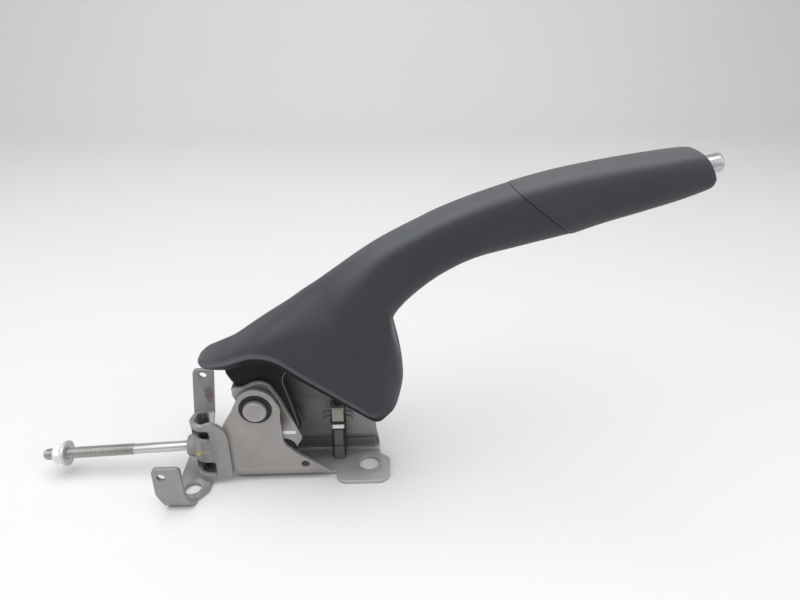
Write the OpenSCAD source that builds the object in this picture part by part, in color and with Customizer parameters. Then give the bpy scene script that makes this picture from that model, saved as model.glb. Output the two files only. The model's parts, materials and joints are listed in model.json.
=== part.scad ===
// Parking brake lever with its floor bracket, ratchet, adjuster rod and warning switch.
// Millimetres. +X towards the grip, +Y towards the ratchet side, +Z up from the floor.
// The origin is the centre of the front floor bolt hole, on the floor.

/* [Floor bracket] */
// Thickness of the bracket's pressed steel
plate_t = 3; // [2:0.5:4]
// Inner radius of the bends in that steel
bend_r = 4; // [2:0.5:6]
// Diameter of the front bolt hole
front_bolt_d = 15; // [9:0.5:18]
// Diameter of the rear bolt hole
rear_bolt_d = 11.5; // [8:0.5:14]
// Diameter of the holes in the two upright tabs
tab_hole_d = 5.8; // [4:0.2:8]
// Width of the front foot, along the lever
foot_w = 38; // [34:1:50]
// Reach of the front foot from the bolt hole towards the open side
foot_reach = 18.5; // [14:0.5:24]
// Distance of the rear bolt hole behind the front one
rear_bolt_x = 122; // [110:1:140]
// Distance of the rear bolt hole out to the open side
rear_bolt_y = 22; // [18:0.5:28]
// Height of the far tab
far_tab_h = 56; // [50:1:70]
// Height of the near tab
near_tab_h = 36; // [30:1:45]

/* [Pivot] */
// Distance of the lever's pivot behind the front bolt
pivot_x = 74.5; // [70:0.5:80]
// Height of the lever's pivot above the floor
pivot_z = 62; // [58:0.5:70]
// Diameter of the pivot pin
pivot_d = 12; // [9:0.5:14]
// Running clearance of the turning parts on their pins, on the radius
running_gap = 0.05; // [0.02:0.01:0.1]

/* [Lever] */
// Outside diameter of the steel lever tube
tube_d = 12.5; // [11:0.5:14]
// Wall of the lever tube
tube_t = 1.5; // [1:0.1:2]
// Slope of the grip
grip_slope = 14; // [12:0.5:16]
// Slope of the lower, straight end of the tube
neck_slope = 40; // [38:0.5:42]
// Bend radius of the tube's centre line
tube_bend_r = 60; // [50:1:70]
// Sheet thickness of the arm and the yoke
sheet_t = 1.75; // [1.5:0.05:2]
// Wall of the moulded lower shroud
shroud_wall = 2.4; // [1.8:0.1:3]
// Half width of the shroud's skirt
skirt_half_w = 23.5; // [23.5:0.1:26]

/* [Ratchet] */
// Radius of the tooth tips about the pivot
ratchet_r = 68; // [66:0.5:70]
// Number of teeth
tooth_count = 12; // [11:1:14]
// Angle from tooth to tooth
tooth_pitch = 3; // [2.5:0.25:3.5]
// Depth of a tooth
tooth_depth = 3.4; // [2:0.2:4]
// Thickness of the ratchet plate
ratchet_t = 4; // [3:0.25:4]
// Thickness of the pawl
pawl_t = 3.6; // [3:0.2:3.8]

/* [Button] */
// Diameter of the release button
button_d = 11.5; // [9:0.5:12]
// Length of the button standing out of the grip
button_out = 13; // [9:0.5:16]
// Travel of the button
button_travel = 5; // [3:0.5:5]
// Diameter of the push rod
push_rod_d = 4; // [3:0.25:4.5]

/* [Adjuster] */
// Diameter of the rod's thread
thread_d = 8; // [6:0.5:10]
// Diameter of the rod's plain shank
shank_d = 7.2; // [5.5:0.1:8]
// Length of the rod behind the trunnion
rod_len = 171.5; // [160:0.5:190]
// Length of the threaded end
thread_len = 63; // [40:1:80]
// Slope of the rod at rest
rod_slope = 3; // [2.5:0.1:3.5]
// Width of the nut across flats
nut_af = 13; // [10:0.5:15]
// Diameter of the nut's flange
nut_flange_d = 17.9; // [16.5:0.1:19]
// Height of the nut with its flange
nut_h = 9.5; // [8:0.5:12]

/* [Warning switch] */
// Width of the switch body
switch_w = 9.5; // [8:0.5:12]
// Depth of the switch body
switch_d = 9; // [8:0.5:9.5]
// Height of the switch body
switch_h = 13; // [12:0.5:15]
// Length of the connector below the body
connector_h = 32; // [26:1:32]
// Diameter of the plunger
plunger_d = 4; // [3:0.5:5]

/* [Hidden] */
$fn = 64;
far = 400;

// Where the sheets stand across the lever
near_y = -13;
near_gap = 0.25;
yoke_out = -near_y - plate_t - near_gap;
yoke_in = yoke_out - sheet_t;
arm_out = yoke_in;
arm_in = tube_d / 2;
far_y = 17;
pivot = [-pivot_x, pivot_z];
pin_head_d = pivot_d + 3.5;
pin_head_h = 3.3;
bush_flange_d = 22;
bush_flange_t = 0.8;
bush_d = pivot_d + 3;
sleeve_d = pivot_d + 6;

// Lower end of the lever where the rod pulls
trunnion_at = pivot + [16.5, -36];
trunnion_d = 12;
trunnion_pin_d = 9;
trunnion_lobe_r = 8.5;

// The tube's two straight lines meet here
knee = [52, 183];
grip_dir = [cos(grip_slope), sin(grip_slope)];
neck_dir = [cos(neck_slope), sin(neck_slope)];
bend_angle = neck_slope - grip_slope;
tube_tangent = tube_bend_r * tan(bend_angle / 2);
neck_len = 62;
tube_end = 132;
bush_end = tube_end + 17;
button_back = tube_end + 6.5;
spigot_back = tube_end - 4;
spring_back = tube_end - 34;
seat_t = 3;

// Push rod, pawl and ratchet
// The pawl's pin stands clear of the teeth, and the push rod reaches down to the pawl's peg
push_shift = 2.5;
pawl_arm = 16;
pawl_clear = 7.3;
peg_d = 5;
peg_gap = 0.2;
grip_normal = [-grip_dir[1], grip_dir[0]];
from_knee = knee + push_shift * grip_dir - pawl_arm * grip_normal - pivot;
pawl_orbit = ratchet_r + pawl_clear;
down_neck = from_knee * neck_dir
    - sqrt(pow(pawl_orbit, 2) - from_knee * from_knee + pow(from_knee * neck_dir, 2));
push_neck_len = down_neck - peg_d / 2 - peg_gap;
pawl_at = pivot + from_knee - down_neck * neck_dir;
peg_at = pawl_at + pawl_arm * grip_normal;
pawl_pin_d = 6;
pawl_gap = 0.35;
pawl_inset = 1.4;
pawl_y = far_y - pawl_inset - pawl_t;
pawl_from_pivot = norm(pawl_at - pivot);
pawl_bearing = atan2(pawl_at[1] - pivot[1], pawl_at[0] - pivot[0]);
nose_bearing = pawl_bearing - acos((ratchet_r + pawl_gap) / pawl_from_pivot);
first_tooth = nose_bearing - tooth_pitch;
sector_depth = 22;
sector_rivet_d = 6;
sector_sweep = tooth_count * tooth_pitch;
sector_rivets_at = [for (k = [0.15, 0.78])
    polar(pivot, ratchet_r - 0.62 * sector_depth, first_tooth + k * sector_sweep)];

// Rod and nut
rod_dir = [cos(rod_slope), sin(rod_slope)];
nut_from_tip = 7.5;
wall_x = -rear_bolt_x + 3.5;

// Switch
switch_at = [-21.6, 8.5, 36];
plunger_top = switch_at[2] + switch_h + 6;

// A point of polar form about a centre
function polar(c, r, a) = c + r * [cos(a), sin(a)];

// Outline whose corners [x, y, radius] are rounded
function unit(v) = v / norm(v);
function corner(p, q, n, steps) =
    let (a = unit([p[0] - q[0], p[1] - q[1]]), b = unit([n[0] - q[0], n[1] - q[1]]))
    let (half = acos(a * b) / 2, d = q[2] / tan(half), mid = unit(a + b))
    let (c = [q[0], q[1]] + mid * q[2] / sin(half), s = [q[0], q[1]] + a * d - c)
    let (turn = (a[0] * b[1] - a[1] * b[0] > 0 ? -1 : 1) * (180 - 2 * half))
    [for (i = [0 : steps])
        let (t = turn * i / steps) c + [s[0] * cos(t) - s[1] * sin(t), s[0] * sin(t) + s[1] * cos(t)]];
function rounded(pts, steps = 8) =
    [for (i = [0 : len(pts) - 1])
        let (p = pts[(i + len(pts) - 1) % len(pts)], q = pts[i], n = pts[(i + 1) % len(pts)])
        each (q[2] > 0 ? corner(p, q, n, steps) : [[q[0], q[1]]])];

// A flat sheet standing in the lever's plane, from y to y + t
module upright(y, t) {
    translate([0, y + t, 0])
        rotate([90, 0, 0])
            linear_extrude(t)
                children();
}

// A round bar or hole across the lever at a point of its plane, from y to y + l
module across(at, y, l, d) {
    translate([at[0], y + l, at[1]])
        rotate([90, 0, 0])
            cylinder(h = l, d = d);
}

// Children drawn along +Z are laid along a direction in the lever's plane
module along(at, dir) {
    translate([at[0], 0, at[1]])
        rotate([0, 90 - atan2(dir[1], dir[0]), 0])
            children();
}

// A quarter bend from a flat on the floor into a wall that stands on the +Y side, along x
module floor_bend(x, w, y_wall) {
    translate([x, y_wall - bend_r, plate_t + bend_r])
        rotate([90, 0, 90])
            linear_extrude(w)
                intersection() {
                    difference() {
                        circle(bend_r + plate_t);
                        circle(bend_r);
                    }
                    translate([0, -far])
                        square(far);
                }
}

near_outline = [
    [-96.6, 6, 3], [-25.5, 6.3, 1.2], [-48, 22, 12], [-58.2, 32, 12], [-59, 52, 8],
    [-pivot_x + 16, pivot_z + 6, 4], [-pivot_x - 12, pivot_z + 6, 4], [-98.7, 47, 6]];
tie_at = [-86, 14];
tie_d = 7;

module near_side_plate() {
    color("darkgray")
        difference() {
            upright(near_y, plate_t) {
                polygon(rounded(near_outline));
                translate(pivot) circle(16.4);
            }
            across(pivot, near_y - 1, plate_t + 2, bush_d);
            across([-44.5, 14], near_y - 1, plate_t + 2, 6);
            across(tie_at, near_y - 1, plate_t + 2, tie_d);
        }
}

// The far plate carries the ratchet, so its upper edge keeps to the ratchet's radius
foot_right = 15;
foot_left = foot_right - foot_w;
far_left = -95;
far_right = pivot[0] + ratchet_r + 11.5;
foot_flare = 2.5;
flange_y = -8;
ledge_t = 1.8;
ledge_h = 13;
function corner_of(p, r) = [p[0], p[1], r];
far_outline = [
    [far_left, plate_t + bend_r, 0], [far_right + foot_flare, plate_t + bend_r, 0],
    [far_right, 3 * (plate_t + bend_r), 20], [far_right, pivot[1], 14],
    corner_of(polar(pivot, ratchet_r + 1, 28), 14), corner_of(polar(pivot, ratchet_r - 14, 50), 12),
    [pivot[0] + 10.5, pivot[1] + 33, 12], [far_left, pivot[1] + 14, 12]];

module far_side_plate() {
    color("darkgray")
        difference() {
            union() {
                upright(far_y, plate_t)
                    polygon(rounded(far_outline));
                floor_bend(far_left, far_right + foot_flare - far_left, far_y);
                linear_extrude(plate_t)
                    polygon(rounded([
                        [far_left, far_y - bend_r, 0], [far_left, flange_y, 4], [foot_left, flange_y, 0],
                        [foot_left, -foot_reach, 7], [foot_right - 1, -foot_reach, 8],
                        [foot_right, far_y - 3 * bend_r, 5],
                        [far_right + foot_flare + 1, far_y - 2 * bend_r, 4],
                        [far_right + foot_flare, far_y - bend_r, 0]]));
                // A ledge pressed into the plate above the floor bend stiffens it
                upright(far_y - ledge_t, ledge_t)
                    polygon(rounded([
                        [far_left + 20, plate_t + bend_r - 2, 0], [far_right - 0.5, plate_t + bend_r - 2, 0],
                        [far_right - 0.5, ledge_h, 1.5], [far_left + 20, ledge_h, 1.5]]));
            }
            cylinder(h = 3 * plate_t, d = front_bolt_d, center = true);
            across(pivot, far_y - 1, plate_t + 2, pivot_d);
            across(tie_at, far_y - ledge_t - 1, ledge_t + plate_t + 2, tie_d);
            for (at = sector_rivets_at)
                across(at, far_y - 1, plate_t + 2, sector_rivet_d);
        }
}

// The bracket that wraps round the rear end, with the rod's hole in its end wall
wrap_y = near_y - plate_t;
wrap_top = 53;
wrap_right = -95;
lip_top = 46;
lip_y = 6;
lip_right = -113;
boss_h = 5.5;
wrap_r = 8;
windows = [[8.5, 11.5, 13], [40.5, 6, 11.5]];
rod_hole_d = thread_d + 4;
rod_hole_at = trunnion_at + rod_dir * (wall_x - plate_t / 2 - trunnion_at[0]) / rod_dir[0];

module rear_bracket() {
    color("darkgray")
        difference() {
            union() {
                intersection() {
                    linear_extrude(wrap_top)
                        polygon(rounded([
                            [wrap_right, wrap_y, 0], [wrap_right, near_y, 0],
                            [wall_x, near_y, wrap_r], [wall_x, lip_y, bend_r],
                            [lip_right, lip_y, 0], [lip_right, lip_y + plate_t, 0],
                            [wall_x - plate_t, lip_y + plate_t, bend_r + plate_t],
                            [wall_x - plate_t, wrap_y, wrap_r + plate_t]]));
                    upright(-far / 2, far)
                        polygon(rounded([
                            [wall_x - 20, plate_t, 0], [wall_x + 8, plate_t, 3], [wall_x + 14, 6.2, 3],
                            [wrap_right, 6.2, 3], [wrap_right, wrap_top, 14], [wall_x - 20, wrap_top, 0]]));
                }
                along(rod_hole_at, [-1, 0])
                    cylinder(h = plate_t / 2 + boss_h, d1 = rod_hole_d + 6, d2 = rod_hole_d + 2.5);
            }
            // The top falls away to the short lip on the far side
            translate([-far / 2, 0, 0])
                rotate([90, 0, 90])
                    linear_extrude(far)
                        polygon([
                            [near_y + bend_r, wrap_top], [lip_y, lip_top], [far, lip_top],
                            [far, far], [near_y + bend_r, far]]);
            // Two windows relieve the corner bend
            for (window = windows)
                upright(wrap_y - far, far + plate_t + wrap_r - 1)
                    polygon(rounded([
                        [wall_x - far, window[0], 0], [wall_x + window[2], window[0], 2],
                        [wall_x + window[2], window[0] + window[1], 2],
                        [wall_x - far, window[0] + window[1], 0]]));
            along(rod_hole_at, [-1, 0])
                translate([0, 0, -far / 2])
                    cylinder(h = far, d = rod_hole_d);
        }
}

// The rear floor strap with its two upright tabs
strap_w = 22.5;
strap_x = -rear_bolt_x - 11;
near_tab_y = -40;
near_bend_r = 6;
near_floor_y = near_tab_y + plate_t + near_bend_r;
near_tab_w = 18;
far_tab_w = 15.5;
arm_grade = 0.45;
far_tab_y = 45;
arm_start = lip_y + 2 * plate_t + 0.5;
arm_rise = arm_grade * (far_tab_y - arm_start) + plate_t;
near_tab_hole_at = [strap_x - 1, near_tab_h - 7];
far_tab_hole_at = [strap_x + 8, far_tab_h - 5];

// The strap turns up into the near tab
module near_tab_bend() {
    x = strap_x - near_tab_w;
    w = 3 * near_tab_w;
    translate([x, near_tab_y, plate_t + near_bend_r])
        cube([w, plate_t, near_tab_h]);
    translate([x, near_floor_y, plate_t + near_bend_r])
        rotate([90, 0, 90])
            linear_extrude(w)
                intersection() {
                    difference() {
                        circle(near_bend_r + plate_t);
                        circle(near_bend_r);
                    }
                    translate([-far, -far])
                        square(far);
                }
}

module rear_strap() {
    color("darkgray")
        difference() {
            union() {
                linear_extrude(plate_t)
                    polygon(rounded([
                        [strap_x, arm_start, 0], [strap_x, -13, 5], [strap_x - 3, -17, 5],
                        [strap_x - 3, near_floor_y, 0], [strap_x + strap_w - 6, near_floor_y, 0],
                        [strap_x + strap_w, near_floor_y + 8, 8], [strap_x + strap_w, arm_start, 0]]));
                intersection() {
                    near_tab_bend();
                    upright(-far / 2, far)
                        polygon(rounded([
                            [strap_x - 3, 0, 0], [strap_x + strap_w - 6, 0, 0],
                            [strap_x + 14, plate_t + 2, 3],
                            [strap_x + near_tab_w - 6.5, near_tab_h / 2.5, 6],
                            [strap_x + near_tab_w - 6.5, near_tab_h, 3], [strap_x - 6.5, near_tab_h, 3],
                            [strap_x - 7, 15, 6], [strap_x - 3, 6, 4]]));
                }
                translate([strap_x, 0, 0])
                    rotate([90, 0, 90])
                        linear_extrude(far_tab_w)
                            polygon([
                                [arm_start - plate_t, 0], [arm_start, 0],
                                [far_tab_y + plate_t, arm_rise - 0.6 * plate_t],
                                [far_tab_y + plate_t, arm_rise], [far_tab_y, arm_rise],
                                [arm_start - plate_t, plate_t]]);
                upright(far_tab_y, plate_t)
                    polygon(rounded([
                        [strap_x, arm_rise - 2, 0], [strap_x + far_tab_w, arm_rise - 2, 0],
                        [strap_x + far_tab_w + 0.8, far_tab_h, 3], [strap_x + 0.8, far_tab_h, 3]]));
            }
            translate([-rear_bolt_x, -rear_bolt_y, 0])
                cylinder(h = 3 * plate_t, d = rear_bolt_d, center = true);
            across(near_tab_hole_at, near_tab_y - 1, plate_t + 2, tab_hole_d);
            across(far_tab_hole_at, far_tab_y - 1, plate_t + 2, tab_hole_d);
        }
}

module tie_spacer() {
    color("gray")
        difference() {
            across(tie_at, near_y + plate_t, far_y - near_y - plate_t, tie_d + 4);
            across(tie_at, near_y, far_y - near_y, tie_d);
        }
}

tie_head_h = 2;
module tie_rivet() {
    color("lightgray") {
        across(tie_at, near_y, far_y + plate_t - near_y, tie_d);
        across(tie_at, far_y + plate_t, tie_head_h, tie_d + 4);
    }
}

pin_near = near_y - bush_flange_t;
pin_far = far_y + plate_t;
module pivot_pin() {
    color("gainsboro") {
        across(pivot, pin_near, pin_far - pin_near, pivot_d);
        across(pivot, pin_near - pin_head_h, pin_head_h, pin_head_d);
        across(pivot, pin_far, 1.6, pivot_d + 4);
    }
}

module pivot_bush() {
    color("dimgray")
        difference() {
            union() {
                across(pivot, near_y, plate_t, bush_d);
                across(pivot, pin_near, bush_flange_t, bush_flange_d);
            }
            across(pivot, pin_near - 1, plate_t + 3, pivot_d);
        }
}

module pivot_spacer() {
    color("silver")
        difference() {
            across(pivot, yoke_out + near_gap, far_y - yoke_out - near_gap, pivot_d + 8);
            across(pivot, 0, far_y + 1, pivot_d);
        }
}

// The toothed plate: sawtooth outside, plain arc inside
function ratchet_outline() = concat(
    [for (i = [0 : tooth_count - 1])
        let (a = first_tooth + i * tooth_pitch)
        each [polar(pivot, ratchet_r - tooth_depth, a), polar(pivot, ratchet_r, a + 0.25 * tooth_pitch),
              polar(pivot, ratchet_r, a + 0.4 * tooth_pitch)]],
    [for (i = [0 : 12])
        polar(pivot, ratchet_r - sector_depth, first_tooth + sector_sweep * (1 - i / 12))]);

module ratchet_sector() {
    color("slategray")
        difference() {
            upright(far_y - ratchet_t, ratchet_t)
                polygon(ratchet_outline());
            for (at = sector_rivets_at)
                across(at, far_y - ratchet_t - 1, ratchet_t + 2, sector_rivet_d);
        }
}

module sector_rivets() {
    color("lightgray")
        for (at = sector_rivets_at)
            across(at, far_y - ratchet_t, ratchet_t + plate_t, sector_rivet_d);
}

// The yoke: two cheeks round the pivot, joined by a web behind, holding the trunnion below
yoke_back = 14.8;
yoke_top = sleeve_d / 2 + 12.4;
yoke_web_h = 5.5;
yoke_web_z = pivot[1] + yoke_top - 12;
function yoke_outline() = rounded([
    [pivot[0] - yoke_back, pivot[1] + yoke_top - 6, 1.5], [pivot[0] - yoke_back, yoke_web_z, 2],
    [pivot[0] - 12.5, pivot[1] + 4, 4], [trunnion_at[0] - trunnion_lobe_r, trunnion_at[1] - 2, 5],
    [trunnion_at[0] - 2, trunnion_at[1] - trunnion_lobe_r, 5],
    [trunnion_at[0] + 5, trunnion_at[1] - trunnion_lobe_r, 5],
    [trunnion_at[0] + trunnion_lobe_r, trunnion_at[1] + 2, 5],
    [trunnion_at[0] + trunnion_lobe_r + 4, trunnion_at[1] + trunnion_lobe_r, 3],
    [pivot[0] + sleeve_d / 2 + 8, pivot[1] + 6, 12],
    [pivot[0] + sleeve_d / 2 + 2, pivot[1] + yoke_top - 2, 5],
    [pivot[0] + 3, pivot[1] + yoke_top + 0.5, 8], [pivot[0] - 4, pivot[1] + yoke_top - 1, 6],
    [pivot[0] - 9, pivot[1] + yoke_top - 6, 4]]);

module pivot_yoke() {
    color("darkgray")
        difference() {
            union() {
                for (y = [-yoke_out, yoke_in])
                    upright(y, sheet_t)
                        polygon(yoke_outline());
                translate([pivot[0] - yoke_back, -yoke_out, yoke_web_z])
                    cube([sheet_t, 2 * yoke_out, yoke_web_h]);
            }
            across(pivot, -yoke_out - 1, 2 * yoke_out + 2, sleeve_d);
            across(trunnion_at, -yoke_out - 1, 2 * yoke_out + 2, trunnion_pin_d + 2 * running_gap);
        }
}

module pivot_sleeve() {
    color("gray")
        difference() {
            across(pivot, -yoke_out, 2 * yoke_out, sleeve_d);
            across(pivot, -yoke_out - 1, 2 * yoke_out + 2, pivot_d + 2 * running_gap);
        }
}

// The arm: a channel from the pivot up to the tube, closed on top
arm_half = 10;
arm_front = 26;
arm_bend = 112;
neck_normal = [-neck_dir[1], neck_dir[0]];
function at_neck(from_knee, side) = knee - from_knee * neck_dir + side * neck_normal;
function arm_outline(rear, low) = rounded(concat(
    [corner_of(at_neck(arm_front, arm_half), 3), corner_of(at_neck(arm_bend, arm_half), 20)],
    rear,
    [corner_of(pivot + [-11.6, 3], 3), corner_of(pivot + [-3, -12], 8)],
    low,
    [corner_of(pawl_at + [9, -6], 6), corner_of(at_neck(70, -arm_half), 10),
     corner_of(at_neck(arm_front, -arm_half), 3)]));
finger_gap = 0.3;
finger_z = plunger_top + finger_gap;
near_rear = [corner_of(pivot + [-18.5, 29], 3), corner_of(pivot + [-11, 15.5], 3)];
far_rear = concat(
    [corner_of(pivot + [-22.5, 19], 4), corner_of(pivot + [-18, 9.5], 1.5)],
    [for (c = [[-0.8, -0.5], [-0.8, yoke_web_h + 0.7], [sheet_t + 1.4, yoke_web_h + 0.7]])
        corner_of([pivot[0] - yoke_back, yoke_web_z] + c, 0)]);
near_low = [
    corner_of(pivot + [12, -21], 5), corner_of(pivot + [30, -21], 4), corner_of(pivot + [25, 2], 10),
    corner_of(pivot + [19.5, 24], 8)];
far_low = [
    corner_of(pivot + [12, -4], 6), [switch_at[0] - 5, finger_z, 3], [switch_at[0] + 5, finger_z, 3],
    [switch_at[0] + 6, finger_z + 16, 8]];

module lever_arm() {
    color("dimgray")
        difference() {
            union() {
                upright(-arm_out, arm_out - arm_in)
                    polygon(arm_outline(near_rear, near_low));
                upright(arm_in, arm_out - arm_in)
                    polygon(arm_outline(far_rear, far_low));
                intersection() {
                    upright(-arm_out, 2 * arm_out)
                        polygon(arm_outline(near_rear, near_low));
                    upright(-arm_out, 2 * arm_out)
                        polygon([
                            at_neck(arm_front + 10, arm_half - sheet_t),
                            at_neck(arm_bend - 2, arm_half - sheet_t),
                            pivot + [-3, 22], pivot + [-12, 30], at_neck(arm_bend, far),
                            at_neck(arm_front + 10, far)]);
                }
            }
            across(pivot, -far / 2, far, sleeve_d);
            across(pawl_at, -far / 2, far, pawl_pin_d);
            for (at = tube_rivets_at)
                across(at, -far / 2, far, tube_rivet_d);
            // The peg of the pawl swings in this window
            upright(0, far)
                polygon(rounded([
                    corner_of(peg_at + [5, -6], 2), corner_of(peg_at + [5, 3], 2),
                    corner_of(peg_at + [-9, 3], 2), corner_of(peg_at + [-9, -7], 2)]));
        }
}

// A bent round bar along the lever: straight neck, bend, straight grip end
lap = 0.3;
lap_step = 0.02;
module bent_bar(d, shift, neck, grip) {
    at = knee + shift * grip_dir;
    along(at - neck * neck_dir, neck_dir)
        cylinder(h = neck - tube_tangent + lap, d = d);
    along(at + (tube_tangent - lap) * grip_dir, grip_dir)
        cylinder(h = grip - tube_tangent + lap, d = d);
    centre = at + tube_tangent * grip_dir - tube_bend_r * grip_normal;
    translate([centre[0], 0, centre[1]])
        rotate([90, 0, 0])
            rotate([0, 0, 90 + grip_slope])
                rotate_extrude(angle = bend_angle)
                    translate([tube_bend_r, 0])
                        circle(d = d - lap_step);
}

tube_rivet_d = 4;
tube_rivets_at = [for (d = [8, 24]) knee - (neck_len - d) * neck_dir];
module lever_tube() {
    color("gray")
        difference() {
            bent_bar(tube_d, 0, neck_len, tube_end);
            bent_bar(tube_d - 2 * tube_t, 0, neck_len + 1, tube_end + 1);
            for (at = tube_rivets_at)
                for (y = [-far, tube_d / 2 - tube_t - 1])
                    across(at, y, far - tube_d / 2 + tube_t + 1, tube_rivet_d);
        }
}

module tube_rivets() {
    color("lightgray")
        for (at = tube_rivets_at)
            for (side = [-1, 1])
                across(at, side > 0 ? tube_d / 2 - tube_t : -arm_out,
                       arm_out - tube_d / 2 + tube_t, tube_rivet_d);
}

// Moulded shells are lofts. A station is the top point and the bottom point of a section in the
// lever's plane, the pinch of its width, its share of the skirt's width, how far its underside
// closes, and how far its inside closes onto the tube.
neck_half_w = 17;
shroud_stations = [
    [-109.6, 98, -109.2, 95.6, 0.28, 1, 0, 0],
    [-106, 100.4, -104.6, 96.2, 0.54, 1, 0, 0],
    [-98, 103.4, -96, 97.2, 0.68, 1, 0, 0],
    [-88, 107.4, -84.5, 99.8, 0.8, 1, 0, 0],
    [-74, 116.6, -68.5, 105.2, 0.95, 1, 0, 0],
    [-62, 125.2, -55, 102.8, 1, 1, 0, 0],
    [-50, 133.8, -42, 92.6, 1, 1, 0, 0],
    [-40, 141.6, -24, 79.4, 1, 1, 0, 0],
    [-32, 147.2, -7, 67, 1, 1, 0, 0],
    [-26, 151.5, 6.4, 57.6, 1, 1, 0.05, 0],
    [-21, 155, 15.2, 59.6, 1, 0.93, 0.45, 0],
    [-16, 158.5, 21, 63.5, 1, 0.85, 0.9, 0],
    [-10, 163, 24.2, 81, 1, 0.65, 0.99, 0],
    [-3, 168, 22.6, 98, 1, 0.42, 0.99, 0],
    [5, 173.4, 18.9, 113.5, 1, 0.2, 0.99, 0],
    [13.5, 178.6, 17.6, 124.5, 1, 0.05, 0.99, 0],
    [22, 183.4, 23.8, 135, 1, 0, 0.99, 0],
    [32, 188.3, 36, 146.5, 1, 0, 0.99, 0],
    [44, 194.3, 50, 156.3, 0.98, 0, 0.99, 0],
    [58.5, 200.3, 68, 165.6, 0.95, 0, 0.99, 0.35],
    [73, 205.7, 92, 172.8, 0.91, 0, 0.99, 1],
    [86, 210.2, 124.2, 181, 0.9, 0, 0.99, 1]];
grip_half_w = 15.5;
seam_gap = 1;
grip_stations = [
    [86, 210.2, 124.2, 181, 0.95], [87.5, 211.1, 125.6, 180.8, 0.985], [111, 217.5, 142.5, 187, 1],
    [138.6, 223, 160, 192.6, 1.03], [164, 227, 182, 199.8, 1.03], [179, 229, 197, 205.6, 0.99],
    [185.8, 230, 202, 208.2, 0.96], [189.4, 228.9, 203.6, 211.2, 0.9]];

// Smooth value between four neighbours
function smooth(a, b, c, d, t) =
    0.5 * (2 * b + (c - a) * t + (2 * a - 5 * b + 4 * c - d) * t * t + (3 * b - a - 3 * c + d) * t * t * t);
function station(list, u) =
    let (i = min(floor(u), len(list) - 2), t = u - i, last = len(list) - 1)
    smooth(list[max(i - 1, 0)], list[i], list[i + 1], list[min(i + 2, last)], t);
function signed_pow(v, p) = sign(v) * pow(abs(v), p);
function mix(a, b, t) = a + (b - a) * t;
function limit(v) = min(max(v, 0), 1);

// A point on a section: s runs from -1 at one lower edge over the top to 1 at the other
squareness = 0.76;
collar_turn = 177;
function section_point(a, b, half_w, close, s) =
    let (reach = 90 + 90 * close, angle = s * reach)
    let (drop = (1 - signed_pow(cos(angle), squareness)) / (1 - signed_pow(cos(reach), squareness)))
    let (p = mix(a, b, drop))
    [p[0], half_w * signed_pow(sin(angle), squareness), p[1]];

// Where the tube crosses a section, as a ring of the tube's own outline
function tube_point(a, b, s) =
    let (d = unit(b - a), n = grip_normal)
    let (t = ((knee - a) * n) / (d * n), c = a + d * t, stretch = 1 / abs(d * n))
    let (p = c - d * stretch * tube_d / 2 * cos(s * collar_turn))
    [p[0], tube_d / 2 * sin(s * collar_turn), p[1]];

shroud_rings = 42;
underside = 2;
shroud_sides = 20;
function shroud_at(u) = station(shroud_stations, u);
function shroud_half(q) = mix(neck_half_w, skirt_half_w, limit(q[5])) * q[4];
function shroud_out(q, s) =
    section_point([q[0], q[1]], [q[2], q[3]], shroud_half(q), limit(q[6]), s);
function shroud_in(q, s) =
    let (a = [q[0], q[1]], b = [q[2], q[3]], share = min(shroud_wall / norm(b - a), 0.4))
    let (low = mix(b, a, underside * share * limit(q[6])), w = shroud_half(q) - shroud_wall)
    mix(section_point(mix(a, b, share), low, w, limit(q[6]), s), tube_point(a, b, s), limit(q[7]));

module lower_shroud() {
    row = shroud_sides + 1;
    count = row * (shroud_rings + 1);
    rings = [for (i = [0 : shroud_rings]) shroud_at(i * (len(shroud_stations) - 1) / shroud_rings)];
    turn = [for (j = [0 : shroud_sides]) -1 + 2 * j / shroud_sides];
    points = concat(
        [for (q = rings) for (s = turn) shroud_out(q, s)],
        [for (q = rings) for (s = turn) shroud_in(q, s)]);
    grid = [for (i = [0 : shroud_rings - 1]) for (j = [0 : shroud_sides - 1])
        let (k = i * row + j) each [[k, k + 1, k + row], [k + 1, k + row + 1, k + row]]];
    skin = concat(grid, [for (f = grid) [f[2] + count, f[1] + count, f[0] + count]]);
    edges = [for (i = [0 : shroud_rings - 1]) let (k = i * row, m = k + shroud_sides)
        each [[k, k + row, k + count], [k + row, k + row + count, k + count],
              [m, m + count, m + row], [m + row, m + count, m + row + count]]];
    ends = [for (j = [0 : shroud_sides - 1]) let (k = j, m = shroud_rings * row + j)
        each [[k, k + count, k + 1], [k + 1, k + count, k + 1 + count],
              [m, m + 1, m + count], [m + 1, m + 1 + count, m + count]]];
    color([0.2, 0.2, 0.22])
        polyhedron(points, concat(skin, edges, ends), convexity = 10);
}

grip_rings = 21;
grip_sides = 28;
guide_d = button_d + 4;
module grip_sleeve() {
    stations = [for (i = [0 : grip_rings]) station(grip_stations, i * (len(grip_stations) - 1) / grip_rings)];
    points = [for (q = stations) for (j = [0 : grip_sides - 1])
        section_point([q[0], q[1]], [q[2], q[3]], grip_half_w * q[4], 1, -1 + 2 * j / grip_sides)
            + seam_gap * [grip_dir[0], 0, grip_dir[1]]];
    walls = [for (i = [0 : grip_rings - 1]) for (j = [0 : grip_sides - 1])
        let (k = i * grip_sides, n = (j + 1) % grip_sides)
        each [[k + j, k + n, k + grip_sides + j], [k + n, k + grip_sides + n, k + grip_sides + j]]];
    last = grip_rings * grip_sides;
    caps = [[for (j = [grip_sides - 1 : -1 : 0]) j], [for (j = [0 : grip_sides - 1]) last + j]];
    color([0.22, 0.21, 0.23])
        difference() {
            polyhedron(points, concat(walls, caps), convexity = 4);
            along(knee, grip_dir) {
                cylinder(h = tube_end, d = tube_d);
                translate([0, 0, tube_end])
                    cylinder(h = far, d = guide_d);
            }
        }
}

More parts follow.
